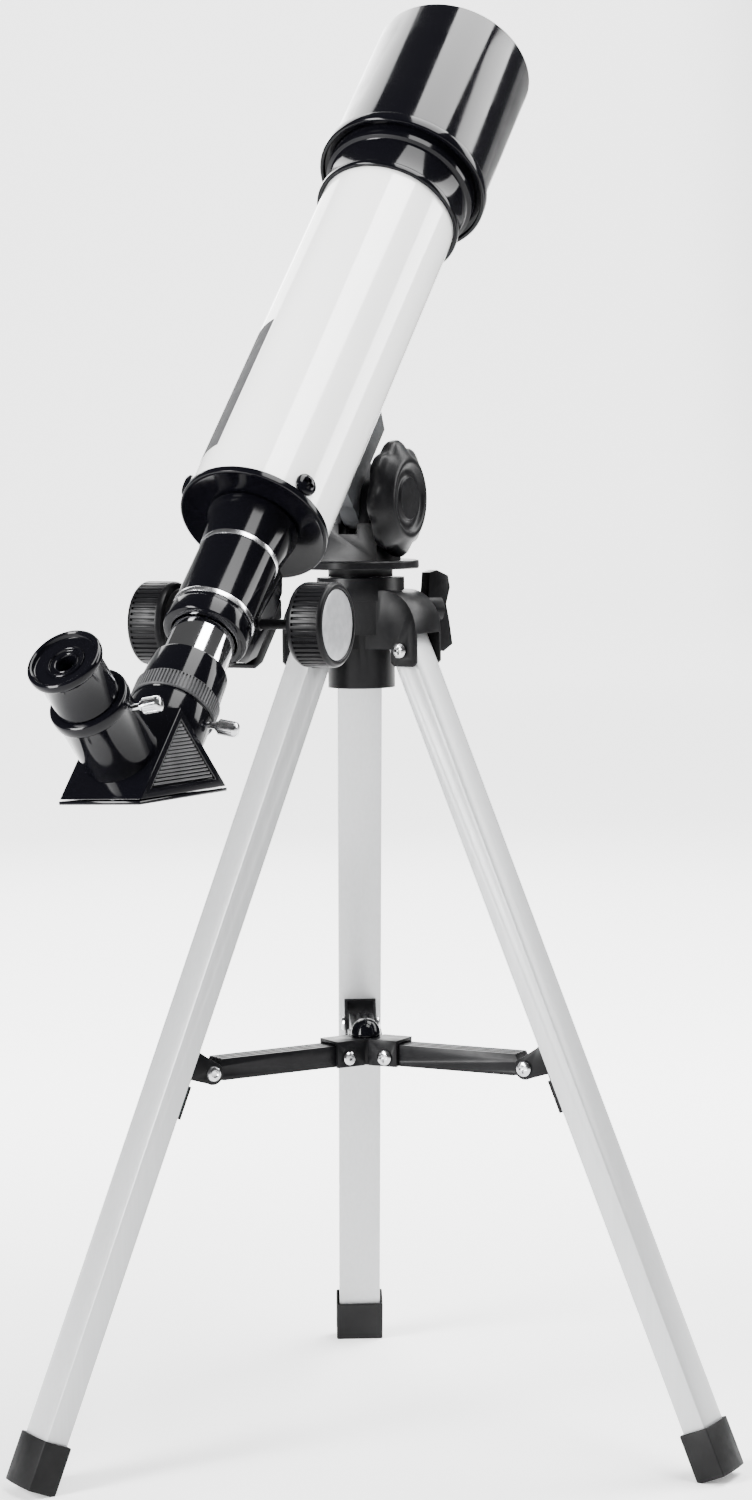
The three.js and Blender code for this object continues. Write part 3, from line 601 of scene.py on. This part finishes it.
class MakeDewShield(bpy.types.Operator):
    """Turn the dew shield with its stepped rear flange"""

    bl_idname = "telescope.make_dew_shield"
    bl_label = "Dew shield"

    def execute(self, context):
        sizes = context.scene.telescope_sizes
        outer = sizes.shield_radius / MM
        flange = sizes.flange_radius / MM
        inner = outer - 2.0
        back, front = 201.8, 281.0
        profile = [
            (inner, back + 1.8), (flange - 1.9, back + 1.8), (flange - 1.6, back),
            (flange - 0.5, back), (flange, back + 0.6), (flange, back + 4.2),
            (flange - 0.5, back + 5.0), (flange - 1.2, back + 5.2), (outer + 0.25, back + 5.5),
            (outer, back + 6.2), (outer, front - 0.8), (outer - 0.3, front - 0.2),
            (outer - 0.8, front), (inner + 0.5, front), (inner, front - 0.5),
        ]
        shield = ring("dew_shield_finished", profile, 128)
        made(shield, TUBE, "tube", "gloss", ["dew_shield"], 0.12)
        return {"FINISHED"}


class MakeObjective(bpy.types.Operator):
    """Turn the objective cell, its lens and the retaining ring"""

    bl_idname = "telescope.make_objective"
    bl_label = "Objective"

    def execute(self, context):
        back = 180.0
        wall = TUBE_RADIUS + 0.3
        cell = ring("objective_cell_finished", [
            (wall, back), (30.6, back), (31.0, back + 0.4), (31.0, back + 2.2),
            (30.7, back + 2.8), (30.2, back + 3.1), (30.0, back + 3.8), (30.0, 195.6),
            (30.6, 196.6), (32.2, 197.2), (32.2, 213.6), (31.8, 214.0), (26.8, 214.0),
            (26.2, 213.4), (26.2, 200.0), (23.5, 200.0), (23.5, 188.0), (wall, 188.0),
        ], 128)
        made(cell, TUBE, "tube", "gloss", ["objective_cell"], 0.1)
        lens = solid_of_turning("objective_lens_finished", [
            (0, 200.8), (8, 200.7), (16, 200.5), (24.9, 200.2), (25.0, 200.4), (25.0, 203.4),
            (20, 205.3), (15, 206.5), (10, 207.3), (5, 207.8), (0, 207.9),
        ])
        made(lens, TUBE, "tube", "glass", ["objective_lens"], 0.05)
        retainer = ring("lens_ring_finished", [
            (23.5, 205.2), (25.9, 204.9), (25.9, 208.2), (25.6, 208.5), (23.9, 208.5),
            (23.5, 208.1),
        ])
        rib_round(retainer, 24.8, 208.4, 208.6, 12, 0.3)
        made(retainer, TUBE, "tube", "plastic", ["lens_retaining_ring"])
        return {"FINISHED"}


class MakeTube(bpy.types.Operator):
    """Turn the white tube, its plain label and the rear cap"""

    bl_idname = "telescope.make_tube"
    bl_label = "Main tube"

    def execute(self, context):
        inner = TUBE_RADIUS - 1.0
        tube = ring("main_tube_finished", [
            (inner, 3.3), (TUBE_RADIUS - 0.2, 3.3), (TUBE_RADIUS, 3.5), (TUBE_RADIUS, 60.0),
            (TUBE_RADIUS, 120.0), (TUBE_RADIUS, 185.8), (TUBE_RADIUS - 0.2, 186.0),
            (inner, 186.0),
        ], 128)
        made(tube, TUBE, "tube", "enamel", ["main_tube"])
        cap = ring("rear_cap_finished", [
            (13.6, 0.9), (18.5, 0.9), (20.0, 0.7), (27.6, 0.7), (28.6, 0.1), (29.6, 0.0),
            (30.1, 0.3), (30.2, 0.8), (30.2, 2.7), (29.9, 3.0), (27.7, 3.0), (27.7, 12.0),
            (25.7, 12.0), (25.7, 3.2), (13.6, 3.2),
        ], 128)
        made(cap, TUBE, "tube", "gloss", ["rear_cap"], 0.08)
        refined("tube_baffle", 0.1, "plastic")
        refined("tube_saddle", 0.5, "grey")
        self.label()
        return {"FINISHED"}

    def label(self):
        """A thin strip wrapped a little way round the tube's left side."""
        under, over = TUBE_RADIUS + 0.02, TUBE_RADIUS + 0.1
        lower, upper = 195, 244  # degrees round the tube
        back, front = 19, 91
        steps = 24
        outline = arc(under, lower, upper, steps) + arc(over, upper, lower, steps)
        strip = extruded("blank_label_strip", outline, back, front)
        made(strip, TUBE, "tube", "label")


def cross_recess(piece, top, size):
    """Cuts a cross recess into a screw head whose crown is at this height."""
    half_width = size * 0.27
    depth, clearance = 1.3, 2.0
    for turn in (0.0, math.pi / 2):
        low = (-size, -half_width, top - depth)
        slot = block("slot", low, (size, half_width, top + clearance))
        slot.data.transform(Matrix.Rotation(turn, 4, "Z"))
        cut(piece, slot)


def pan_head(name, radius, height, base):
    """A domed screw head with a cross recess, above a base height."""
    head = solid_of_turning(name, [
        (0, base), (radius - 0.15, base), (radius, base + 0.2),
        (radius * 0.96, base + height * 0.5), (radius * 0.8, base + height * 0.8),
        (radius * 0.5, base + height * 0.96), (0, base + height),
    ], 32)
    cross_recess(head, base + height, radius * 0.55)
    return head


class MakeCapScrews(bpy.types.Operator):
    """Make the black screws round the back of the tube"""

    bl_idname = "telescope.make_cap_screws"
    bl_label = "Cap screws"

    def execute(self, context):
        head_radius, head_height = 4.6, 2.4
        seat_radius = TUBE_RADIUS + 0.3
        for number, turn in enumerate(CAP_SCREW_TURNS, start=1):
            around = math.radians(turn)
            out = ACROSS * math.cos(around) + ABOVE * math.sin(around)
            seat = place(CAP_FACE + ALONG * CAP_SCREW_STATION * MM, out, ALONG)
            name = f"cap_screw_{number}_finished"
            head = pan_head(name, head_radius, head_height, seat_radius)
            nodes = [f"rear_cap_screw_{number}"]
            made(head, seat, "tube", "gloss", nodes)
        return {"FINISHED"}


class MakeFocuser(bpy.types.Operator):
    """Turn the focuser barrel with its bright rings, pinion housing and knobs"""

    bl_idname = "telescope.make_focuser"
    bl_label = "Focuser"

    def execute(self, context):
        barrel = ring("focuser_barrel_finished", [
            (13.3, -59.5), (14.6, -59.5), (16.4, -59.2), (16.8, -58.7), (16.8, -52.4),
            (16.5, -51.8), (16.3, -51.5), (15.75, -19.3), (18.1, -3.0), (18.6, -1.6),
            (18.6, -0.3), (13.6, -0.3), (13.3, -40.0),
        ], 128)
        housing = self.housing()
        made(barrel, TUBE, "tube", "gloss", ["focuser_barrel"], 0.08)
        made(housing, Matrix.Identity(4), "tube", "gloss", round_off=0.4)
        bright_rings = ((-19.2, -16.0, 15.95), (-50.2, -47.9, 16.4))
        for number, (low, high, radius) in enumerate(bright_rings, start=1):
            band = ring(f"bright_ring_{number}", [
                (radius - 0.6, low), (radius, low), (radius + 0.12, low + 0.3),
                (radius + 0.12, high - 0.3), (radius, high), (radius - 0.6, high),
            ])
            made(band, TUBE, "tube", "silver_ring")
        refined("pinion_cover", 0.4, "plastic")
        shaft = solid_of_turning("focus_shaft_finished", [
            (0, -40.5), (2.0, -40.5), (2.0, -9.0), (2.6, -8.6), (2.6, -7.9), (2.0, -7.5),
            (2.0, 7.5), (2.6, 7.9), (2.6, 8.6), (2.0, 9.0), (2.0, 40.5), (0, 40.5),
        ], 48)
        nodes = ["focus_shaft"]
        made(shaft, SHAFT, "focus_knobs", "plastic", nodes, 0.05)
        dress(frame["nodes"]["focus_pinion"], "brass")
        for side, name in ((1, "right"), (-1, "left")):
            self.knob(context.scene.telescope_sizes, side, name)
        return {"FINISHED"}

    def housing(self):
        """The flat-sided part of the barrel that holds the pinion."""
        piece = copied("focuser_barrel", "pinion_housing")
        down = -ABOVE
        under_axis = 14.4
        bpy.ops.mesh.bisect(
            plane_co=CAP_FACE + down * under_axis * MM, plane_no=down,
            use_fill=True, clear_inner=True,
        )
        bpy.ops.object.mode_set(mode="OBJECT")
        return piece

    def knob(self, sizes, side, name):
        """A ribbed knob with a foil disc in its face."""
        radius = sizes.focus_knob_radius / MM
        foil_radius = sizes.foil_radius / MM
        ribs = sizes.focus_ribs
        inner, outer = 26.5, 42.0
        knob = ring(f"focus_knob_{name}_finished", [
            (2.2, inner), (8.0, inner), (8.4, inner + 0.6), (13.2, inner + 0.6), (13.6, inner),
            (radius - 2.4, inner), (radius - 0.9, inner + 0.7), (radius - 0.15, inner + 2.0),
            (radius, inner + 3.0), (radius, outer - 1.8), (radius - 0.2, outer - 0.9),
            (radius - 1.0, outer - 0.1), (radius - 1.6, outer), (foil_radius + 0.5, outer),
            (foil_radius + 0.3, outer - 0.9), (2.2, outer - 0.9),
        ], ribs * 2)
        rib_round(knob, radius, inner + 2.9, outer - 1.7, ribs, 1.0)
        disc = solid_of_turning(f"knob_foil_{name}", [
            (0, outer - 0.85), (foil_radius, outer - 0.85), (foil_radius + 0.05, outer - 0.5),
            (foil_radius - 0.4, outer - 0.35), (foil_radius * 0.5, outer - 0.3), (0, outer - 0.3),
        ], 72)
        way = SHAFT @ Matrix.Rotation(math.pi if side < 0 else 0.0, 4, "X")
        nodes = [f"focus_knob_{name}"]
        made(knob, way, "focus_knobs", "plastic", nodes, 0.1)
        made(disc, way, "focus_knobs", "foil")


def thumbscrew(name, tip, shoulder, end):
    """A plated thumbscrew along Z with a ribbed, domed head."""
    head_length = end - shoulder
    shank, neck, head = 1.3, 1.9, 3.0
    ribs, rib_depth = 24, 0.22
    screw = solid_of_turning(name, [
        (0, tip), (1.1, tip), (shank, tip + 0.2), (shank, shoulder - 1.0),
        (neck, shoulder - 0.9), (neck, shoulder), (2.6, shoulder), (head, shoulder + 0.4),
        (head, end - head_length * 0.25), (2.8, end - 0.9), (2.1, end - 0.25), (1.0, end),
        (0, end),
    ], ribs * 2)
    rib_round(screw, head, shoulder + 0.3, end - head_length * 0.24, ribs, rib_depth)
    return screw


class MakeDrawtube(bpy.types.Operator):
    """Turn the bright drawtube, its collar with the ribbed band, and the collar's screw"""

    bl_idname = "telescope.make_drawtube"
    bl_label = "Drawtube"

    def execute(self, context):
        ribs = context.scene.telescope_sizes.collar_ribs
        drawtube = ring("drawtube_finished", [
            (11.6, -82.0), (12.7, -82.0), (12.7, -40.0), (12.7, 5.8), (12.5, 6.0), (11.6, 6.0),
        ], 96)
        made(drawtube, TUBE, "drawtube", "chrome", ["drawtube"])
        holder = ring("eyepiece_holder_finished", [
            (13.0, -76.0), (14.4, -76.0), (15.0, -76.4), (15.25, -77.2), (15.9, -89.9),
            (15.9, -97.6), (15.6, -98.0), (15.6, -98.3), (15.9, -98.6), (15.9, -110.0),
            (15.5, -110.7), (14.9, -111.0), (11.7, -111.0), (11.7, -83.0), (13.0, -83.0),
        ], 128)
        band = ring("collar_ribbed_band", [
            (15.6, -90.0), (16.4, -90.0), (16.8, -90.4), (16.8, -97.1), (16.4, -97.5),
            (15.6, -97.5),
        ], ribs * 2)
        rib_round(band, 16.8, -97.2, -90.3, ribs, 0.6)
        # The band is in the ribs' lighter colour: a painted highlight.
        made(band, TUBE, "drawtube", "ribs")
        made(holder, TUBE, "drawtube", "gloss", ["eyepiece_holder"], 0.06)
        refined("focus_rack", 0.08, "plastic")
        node = "holder_thumbscrew"
        screw = thumbscrew(f"{node}_finished", 12.2, 19.5, 27.5)
        spot = CAP_FACE + ALONG * HOLDER_SCREW_STATION * MM
        seat = place(spot, axis_of("holder_screw"), ALONG)
        made(screw, seat, node, "steel", [node])
        return {"FINISHED"}


class MakeDiagonal(bpy.types.Operator):
    """Model the diagonal's wedge with its ribbed sides, sleeve and back plate"""

    bl_idname = "telescope.make_diagonal"
    bl_label = "Diagonal"

    # The wedge's front face, its two equal sides, its top and half its width, then the
    # border round each sunk panel and how far the panel is sunk.
    front = -111.4
    leg = 44.5
    top = 18.0
    half = 17.2
    border = 3.4
    sunk = 0.9

    def execute(self, context):
        corner = (self.front, self.top)
        low = (self.front, self.top - self.leg)
        far = (self.front - self.leg, self.top)
        wedge = extruded("diagonal_housing_finished", [corner, low, far], -self.half, self.half)
        panel = self.panel_outline(self.border)
        for side in (1, -1):
            edges = sorted((side * (self.half - self.sunk), side * (self.half + 1)))
            cut(wedge, extruded("panel", panel, *edges))
        soften(wedge, 0.5)
        nose = ring("nose", [
            (10.2, -112.0), (11.4, -112.0), (11.4, -86.4), (11.1, -86.0), (10.2, -86.0),
        ], 64)
        soften(nose, 0.0)
        move_mesh(wedge, DIAGONAL)
        move_mesh(nose, TUBE)
        sleeve = ring("sleeve", [
            (11.7, 17.0), (14.6, 17.0), (14.4, 18.6), (14.2, 20.0), (14.2, 42.6), (14.4, 43.0),
            (15.0, 43.3), (15.2, 43.8), (15.2, 46.9), (14.9, 47.6), (14.2, 48.0), (12.2, 48.0),
            (11.7, 47.5),
        ], 96)
        soften(sleeve, 0.06)
        move_mesh(sleeve, SLEEVE)
        body = joined([wedge, nose, sleeve], "diagonal_housing_finished")
        dress(body, "gloss")
        finish(body, "diagonal", "diagonal_housing")
        self.ribs()
        refined("diagonal_back_plate", 0.35, "gloss")
        refined("diagonal_mirror", 0.1, "mirror")
        node = "eyepiece_thumbscrew"
        screw = thumbscrew(f"{node}_finished", 12.2, 18.5, 26.0)
        seat = place(place_of("eyepiece_screw"), axis_of("eyepiece_screw"), EYEPIECE_UP)
        made(screw, seat, node, "steel", [node])
        return {"FINISHED"}

    def panel_outline(self, border):
        """The wedge's triangle, drawn in by a border."""
        slope = border * (1 + math.sqrt(2))
        right = self.front - border
        upper = self.top - border
        return [
            (right, upper),
            (right, self.top - self.leg + slope),
            (self.front - self.leg + slope, upper),
        ]

    def ribs(self):
        """Bars across each sunk panel, parallel to the back plate."""
        inset = self.border + 0.3
        corner = Vector((self.front - inset, self.top - inset))
        depth = (self.leg - inset * (2 + math.sqrt(2))) / math.sqrt(2)
        inwards = Vector((-1, -1)).normalized()
        along = Vector((-1, 1)).normalized()
        pitch, half_bar, end_gap = 1.35, 0.4, 0.3
        buried, below_face = 0.2, 0.15
        count = int(depth / pitch)
        for side, name in ((1, "right"), (-1, "left")):
            bars = []
            for i in range(1, count + 1):
                middle = corner + inwards * (i * pitch)
                reach = i * pitch - end_gap
                one, other = middle - along * reach, middle + along * reach
                wide = inwards * half_bar
                outline = [one - wide, other - wide, other + wide, one + wide]
                edges = sorted((
                    side * (self.half - self.sunk - buried), side * (self.half - below_face),
                ))
                bars.append(extruded("bar", [tuple(point) for point in outline], *edges))
            panel = joined(bars, f"side_ribs_{name}")
            # The bars are in the ribs' lighter colour: a painted highlight.
            made(panel, DIAGONAL, "diagonal", "ribs", round_off=0.12)


class MakeEyepiece(bpy.types.Operator):
    """Turn the eyepiece, its cup and its lenses"""

    bl_idname = "telescope.make_eyepiece"
    bl_label = "Eyepiece"

    def execute(self, context):
        body = ring("eyepiece_body_finished", [
            (10.2, 27.0), (11.2, 27.0), (11.4, 27.2), (11.4, 48.3), (12.2, 48.3), (12.4, 48.6),
            (12.2, 49.2), (12.2, 64.2), (12.6, 65.0), (13.6, 65.6), (14.1, 66.2), (14.3, 67.0),
            (14.3, 68.4), (14.0, 69.1), (13.4, 69.5), (12.9, 69.5), (12.4, 69.1), (12.1, 68.2),
            (11.6, 67.6), (7.5, 67.1), (7.3, 67.7), (6.8, 67.9), (6.3, 67.7), (6.1, 67.0),
            (5.0, 66.7), (4.8, 67.1), (4.4, 67.3), (4.0, 67.0), (3.6, 66.0), (3.6, 61.0),
            (10.2, 61.0),
        ], 128)
        made(body, SLEEVE, "eyepiece", "gloss", ["eyepiece_body"], 0.05)
        eye = solid_of_turning("eye_lens_finished", [
            (0, 55.5), (9.8, 55.5), (9.9, 55.7), (9.9, 60.0), (8.5, 60.3), (4.4, 60.65), (0, 60.7),
        ], 64)
        made(eye, SLEEVE, "eyepiece", "glass", ["eye_lens"])
        field = solid_of_turning("field_lens_finished", [
            (0, 30.0), (5.0, 30.2), (9.8, 30.9), (9.9, 31.1), (9.9, 32.4), (9.7, 32.6),
            (5.0, 33.0), (0, 33.0),
        ], 64)
        made(field, SLEEVE, "eyepiece", "glass", ["field_lens"])
        return {"FINISHED"}


class MakeAltitudeKnob(bpy.types.Operator):
    """Shape the big lobed knob on the altitude bolt"""

    bl_idname = "telescope.make_altitude_knob"
    bl_label = "Altitude knob"

    def execute(self, context):
        tip = context.scene.telescope_sizes.altitude_knob_radius / MM
        knob = ring("altitude_knob_finished", [
            (3.2, 9.2), (7.2, 9.2), (7.6, 9.6), (7.6, 13.4), (8.0, 13.6), (tip - 2.6, 13.6),
            (tip - 1.2, 14.0), (tip - 0.4, 15.0), (tip, 16.4), (tip - 0.1, 18.0),
            (tip - 1.0, 19.2), (tip - 3.0, 20.4), (tip - 5.4, 21.6), (17.4, 22.9), (16.4, 23.4),
            (15.4, 23.6), (14.4, 23.4), (13.6, 22.8), (12.8, 22.1), (11.6, 21.9), (9.8, 21.9),
            (9.3, 22.2), (9.0, 22.7), (8.6, 23.0), (4.5, 23.1), (3.2, 23.1),
        ], 192)
        plug = solid_of_turning("knob_plug", [(0, 22.0), (3.4, 22.0), (3.4, 23.08), (0, 23.1)], 192)
        knob = joined([knob, plug], "altitude_knob_finished")
        self.scallop(knob, tip)
        node = "altitude_knob"
        made(knob, KNOB, node, "plastic", [node])
        return {"FINISHED"}

    def scallop(self, knob, tip):
        """Draws the rim in between its lobes, more the further out it is."""
        lobes = 8
        start = 17.0
        depth = 2.2
        narrowing = 1.6
        phase = math.radians(6.0)
        for vertex in knob.data.vertices:
            flat = vertex.co.xy
            radius = flat.length / MM
            if radius > start:
                share = (radius - start) / (tip - start)
                angle = math.atan2(flat.y, flat.x)
                wave = (1 - math.cos(lobes * (angle - phase))) / 2
                vertex.co.xy = flat * (1 - depth * share * wave ** narrowing / radius)


class MakeFork(bpy.types.Operator):
    """Finish the fork, its turntable and bolts"""

    bl_idname = "telescope.make_fork"
    bl_label = "Fork"

    def execute(self, context):
        refined("altitude_fork", 0.5, "plastic")
        inner, outer = 23.4, 24.5
        low, high = 367.0, 370.5
        disc = ring("turntable_rim", [
            (inner, low + 0.2), (outer - 0.4, low), (outer, low + 0.5), (outer, high - 0.6),
            (outer - 0.4, high - 0.1), (inner, high),
        ], 128)
        made(disc, UPRIGHT, "fork", "plastic")
        for node in ("azimuth_bolt", "azimuth_nut", "altitude_bolt"):
            refined(node, 0.2, "steel")
        return {"FINISHED"}


class MakeHead(bpy.types.Operator):
    """Finish the tripod head and the azimuth lock"""

    bl_idname = "telescope.make_head"
    bl_label = "Tripod head"

    def execute(self, context):
        refined("tripod_head", 0.55, "plastic")
        refined("azimuth_lock_knob", 1.1, "plastic", segments=3)
        return {"FINISHED"}


class MakeLegs(bpy.types.Operator):
    """Finish the legs, feet, brackets and their screws"""

    bl_idname = "telescope.make_legs"
    bl_label = "Legs"

    def execute(self, context):
        for leg in LEGS:
            refined(f"leg_{leg}", 0.35, f"leg_{leg}")
            refined(f"foot_{leg}", 0.9, "rubber", segments=3)
            refined(f"leg_bracket_{leg}", 0.25, "plastic")
            cross_screw(f"leg_screw_{leg}", f"leg_fold_{leg}", 11.7, 3.1, 1.3)
            self.stub(leg)
        return {"FINISHED"}

    def stub(self, leg):
        """The short screw through one ear of a leg's bracket, and a rivet in the other."""
        node = f"bracket_screw_{leg}"
        low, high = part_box(node)
        joint = f"leg_fold_{leg}"
        axis = axis_of(joint)
        centre = (low + high) / 2
        spot = centre - axis * (centre - place_of(joint)).dot(axis)
        seat = place(spot, axis, UP)
        head = pan_head(f"{node}_finished", 3.3, 1.4, 7.3)
        shank = solid_of_turning("shank", [(0, 5.9), (1.6, 5.9), (1.6, 7.6), (0, 7.6)], 24)
        screw = joined([head, shank], f"{node}_finished")
        made(screw, seat, f"leg_{leg}", "steel", [node])
        tail = solid_of_turning(f"bracket_rivet_{leg}", [
            (0, -7.1), (3.1, -7.1), (3.2, -7.4), (2.9, -8.1), (2.2, -8.5), (1.5, -8.5),
            (1.2, -8.1), (0, -8.0),
        ], 32)
        made(tail, seat, f"leg_{leg}", "steel")


def cross_screw(node, joint, base, radius, height):
    """A screw on a joint's axis: a cross-headed end, and a riveted end."""
    shank_radius, end = 1.6, base + 0.2
    head = pan_head(f"{node}_finished", radius, height, base)
    shank = solid_of_turning("shank", [
        (0, -end), (shank_radius, -end), (shank_radius, end), (0, end),
    ], 24)
    rivet = ring("rivet", [
        (1.0, -base - 1.3), (2.2, -base - 1.2), (2.8, -base - 0.7), (2.9, -base),
        (0.9, -base), (0.9, -base - 0.6),
    ], 32)
    screw = joined([head, shank, rivet], f"{node}_finished")
    seat = place(place_of(joint), axis_of(joint), UP)
    made(screw, seat, BODY_OF[node], "steel", [node])


class MakeSpreader(bpy.types.Operator):
    """Finish the spreader's hub, arms and screws"""

    bl_idname = "telescope.make_spreader"
    bl_label = "Spreader"

    def execute(self, context):
        refined("spreader_hub", 0.3, "plastic")
        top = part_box("hub_cap")[1].z / MM
        dome_radius, dome_height = 6.15, 6.2
        dome = [
            (dome_radius * math.cos(angle), top - dome_height + dome_height * math.sin(angle))
            for angle in (0.15, 0.4, 0.65, 0.9, 1.15, 1.4)
        ]
        cap = solid_of_turning("hub_cap_finished", [
            (0, top - 13), (1.6, top - 13), (1.6, top - 7.4), (6.0, top - 7.4),
            (6.3, top - 7.1), (6.3, top - 6.4), *dome, (0, top),
        ], 64)
        made(cap, UPRIGHT, "hub", "gloss", ["hub_cap"])
        for leg in LEGS:
            refined(f"spreader_arm_{leg}", 0.2, "plastic")
            cross_screw(f"hub_screw_{leg}", f"arm_fold_{leg}", 7.4, 3.3, 1.4)
        return {"FINISHED"}


class MakeStage(bpy.types.Operator):
    """Set up the pale floor, the studio lights and the camera"""

    bl_idname = "telescope.make_stage"
    bl_label = "Stage"

    def execute(self, context):
        self.floor()
        self.lights(context)
        self.camera(context)
        return {"FINISHED"}

    def floor(self):
        """A sheet of paper under the object that turns up behind it."""
        size, middle = 8.0, 1.0
        back_edge = middle + size / 2
        fresh()
        bpy.ops.mesh.primitive_plane_add(size=size, location=(0, middle, 0))
        floor = bpy.context.object
        floor.name = "studio_floor"
        bpy.ops.object.transform_apply(location=True)
        bpy.ops.object.mode_set(mode="EDIT")
        bpy.ops.mesh.select_mode(type="EDGE")
        bpy.ops.mesh.select_all(action="DESELECT")
        bpy.ops.object.mode_set(mode="OBJECT")
        for edge in floor.data.edges:
            ends = [floor.data.vertices[i].co.y for i in edge.vertices]
            edge.select = min(ends) > back_edge - 0.1
        bpy.ops.object.mode_set(mode="EDIT")
        for rise, run in ((0.1, 0.5), (0.4, 0.4), (1.0, 0.25), (5.0, 0.0)):
            bpy.ops.mesh.extrude_region_move(TRANSFORM_OT_translate={"value": (0, run, rise)})
        bpy.ops.object.mode_set(mode="OBJECT")
        bpy.ops.object.shade_smooth()
        material, shader = new_material("studio_paper", (0.93,) * 3, 0.9)
        shader.inputs["Emission Color"].default_value = (1.0, 1.0, 1.0, 1.0)
        self.glow(material, 2.8, 0.25)
        tint(material, noise_in(material, 3.0), (0.925,) * 3, (0.935,) * 3)
        floor.data.materials.append(material)

    def glow(self, material, bright, dim):
        """Lets the paper glow behind the object, and fade to the sides and the front."""
        nodes = material.node_tree.nodes
        links = material.node_tree.links
        coordinates = nodes.new("ShaderNodeTexCoord")
        parts = nodes.new("ShaderNodeSeparateXYZ")
        links.new(coordinates.outputs["Object"], parts.inputs["Vector"])
        aside = nodes.new("ShaderNodeMath")
        aside.operation = "ABSOLUTE"
        links.new(parts.outputs["X"], aside.inputs[0])
        both = nodes.new("ShaderNodeMath")
        both.operation = "MULTIPLY"
        fades = ((aside.outputs[0], 1.5, 0.8), (parts.outputs["Y"], 0.0, 0.9))
        for slot, (source, start, end) in enumerate(fades):
            fade = add_node(material, "ShaderNodeMapRange", From_Min=start, From_Max=end)
            fade.interpolation_type = "SMOOTHSTEP"
            links.new(source, fade.inputs["Value"])
            links.new(fade.outputs["Result"], both.inputs[slot])
        strength = add_node(material, "ShaderNodeMapRange", To_Min=dim, To_Max=bright)
        links.new(both.outputs[0], strength.inputs["Value"])
        shader = nodes["Principled BSDF"]
        links.new(strength.outputs["Result"], shader.inputs["Emission Strength"])

    def lights(self, context):
        """A faint even light, and softboxes that face the middle of the object."""
        world = bpy.data.worlds.new("studio")
        world.use_nodes = True
        background = world.node_tree.nodes["Background"]
        background.inputs["Color"].default_value = (1.0, 1.0, 1.0, 1.0)
        background.inputs["Strength"].default_value = 0.1
        context.scene.world = world
        middle = STAND + Vector((0.0, 0.0, 0.35))
        # Each softbox's name, place from the stand, width and height, and power.
        softboxes = (
            ("key", (-1.45, -1.05, 0.9), (1.3, 0.5), 120.0),
            ("top", (0.56, -0.1, 1.75), (2.0, 0.7), 85.0),
            ("side", (1.06, 0.3, 0.85), (1.2, 0.4), 20.0),
            ("back", (-0.3, 1.8, 1.2), (0.9, 1.6), 25.0),
        )
        for name, spot, size, power in softboxes:
            fresh()
            bpy.ops.object.light_add(type="AREA", location=spot)
            lamp = bpy.context.object
            lamp.name = f"softbox_{name}"
            lamp.data.shape = "RECTANGLE"
            lamp.data.size = size[0]
            lamp.data.size_y = size[1]
            lamp.data.energy = power
            spot = STAND + Vector(spot)
            lamp.matrix_world = place(spot, spot - middle, ALONG)

    def camera(self, context):
        """A camera in front of the object, a little above its middle."""
        fresh()
        bpy.ops.object.camera_add()
        camera = bpy.context.object
        right = Vector((0.99938266, -0.03331183, -0.01116341))
        up = Vector((0.01390628, 0.08327817, 0.99642931))
        back = right.cross(up)
        turn = Matrix((right, up, back)).transposed().to_4x4()
        spot = STAND + Vector((-0.041681, -1.461674, 0.413665))
        camera.matrix_world = Matrix.Translation(spot) @ turn
        camera.data.lens = 84.0
        camera.data.sensor_width = 36.0
        camera.data.clip_end = 50.0
        context.scene.camera = camera


OPERATORS = (
    MakeMaterials, MakeDewShield, MakeObjective, MakeTube, MakeCapScrews, MakeFocuser,
    MakeDrawtube, MakeDiagonal, MakeEyepiece, MakeAltitudeKnob, MakeFork, MakeHead,
    MakeLegs, MakeSpreader, MakeStage,
)


class TelescopePanel(bpy.types.Panel):
    """Lists the pieces of the telescope and its stage."""

    bl_idname = "VIEW3D_PT_telescope"
    bl_label = "Tabletop Telescope"
    bl_space_type = "VIEW_3D"
    bl_region_type = "UI"
    bl_category = "Telescope"

    def draw(self, context):
        layout = self.layout
        for operator in OPERATORS:
            layout.operator(operator.bl_idname)
        for group in (context.scene.telescope_sizes, context.scene.telescope_finishes):
            column = layout.column()
            for name in group.bl_rna.properties.keys():
                if name not in ("rna_type", "name"):
                    column.prop(group, name)


CLASSES = (TelescopeSizes, TelescopeFinishes, *OPERATORS, TelescopePanel)


def register():
    """Adds the panel, the operators and their settings to Blender."""
    for part in CLASSES:
        bpy.utils.register_class(part)
    bpy.types.Scene.telescope_sizes = bpy.props.PointerProperty(type=TelescopeSizes)
    bpy.types.Scene.telescope_finishes = bpy.props.PointerProperty(type=TelescopeFinishes)


def unregister():
    """Takes them all out again."""
    del bpy.types.Scene.telescope_finishes
    del bpy.types.Scene.telescope_sizes
    for part in reversed(CLASSES):
        bpy.utils.unregister_class(part)


def main():
    """Makes every piece and the stage."""
    register()
    for operator in OPERATORS:
        group, name = operator.bl_idname.split(".")
        getattr(getattr(bpy.ops, group), name)()


if __name__ == "__main__":
    main()
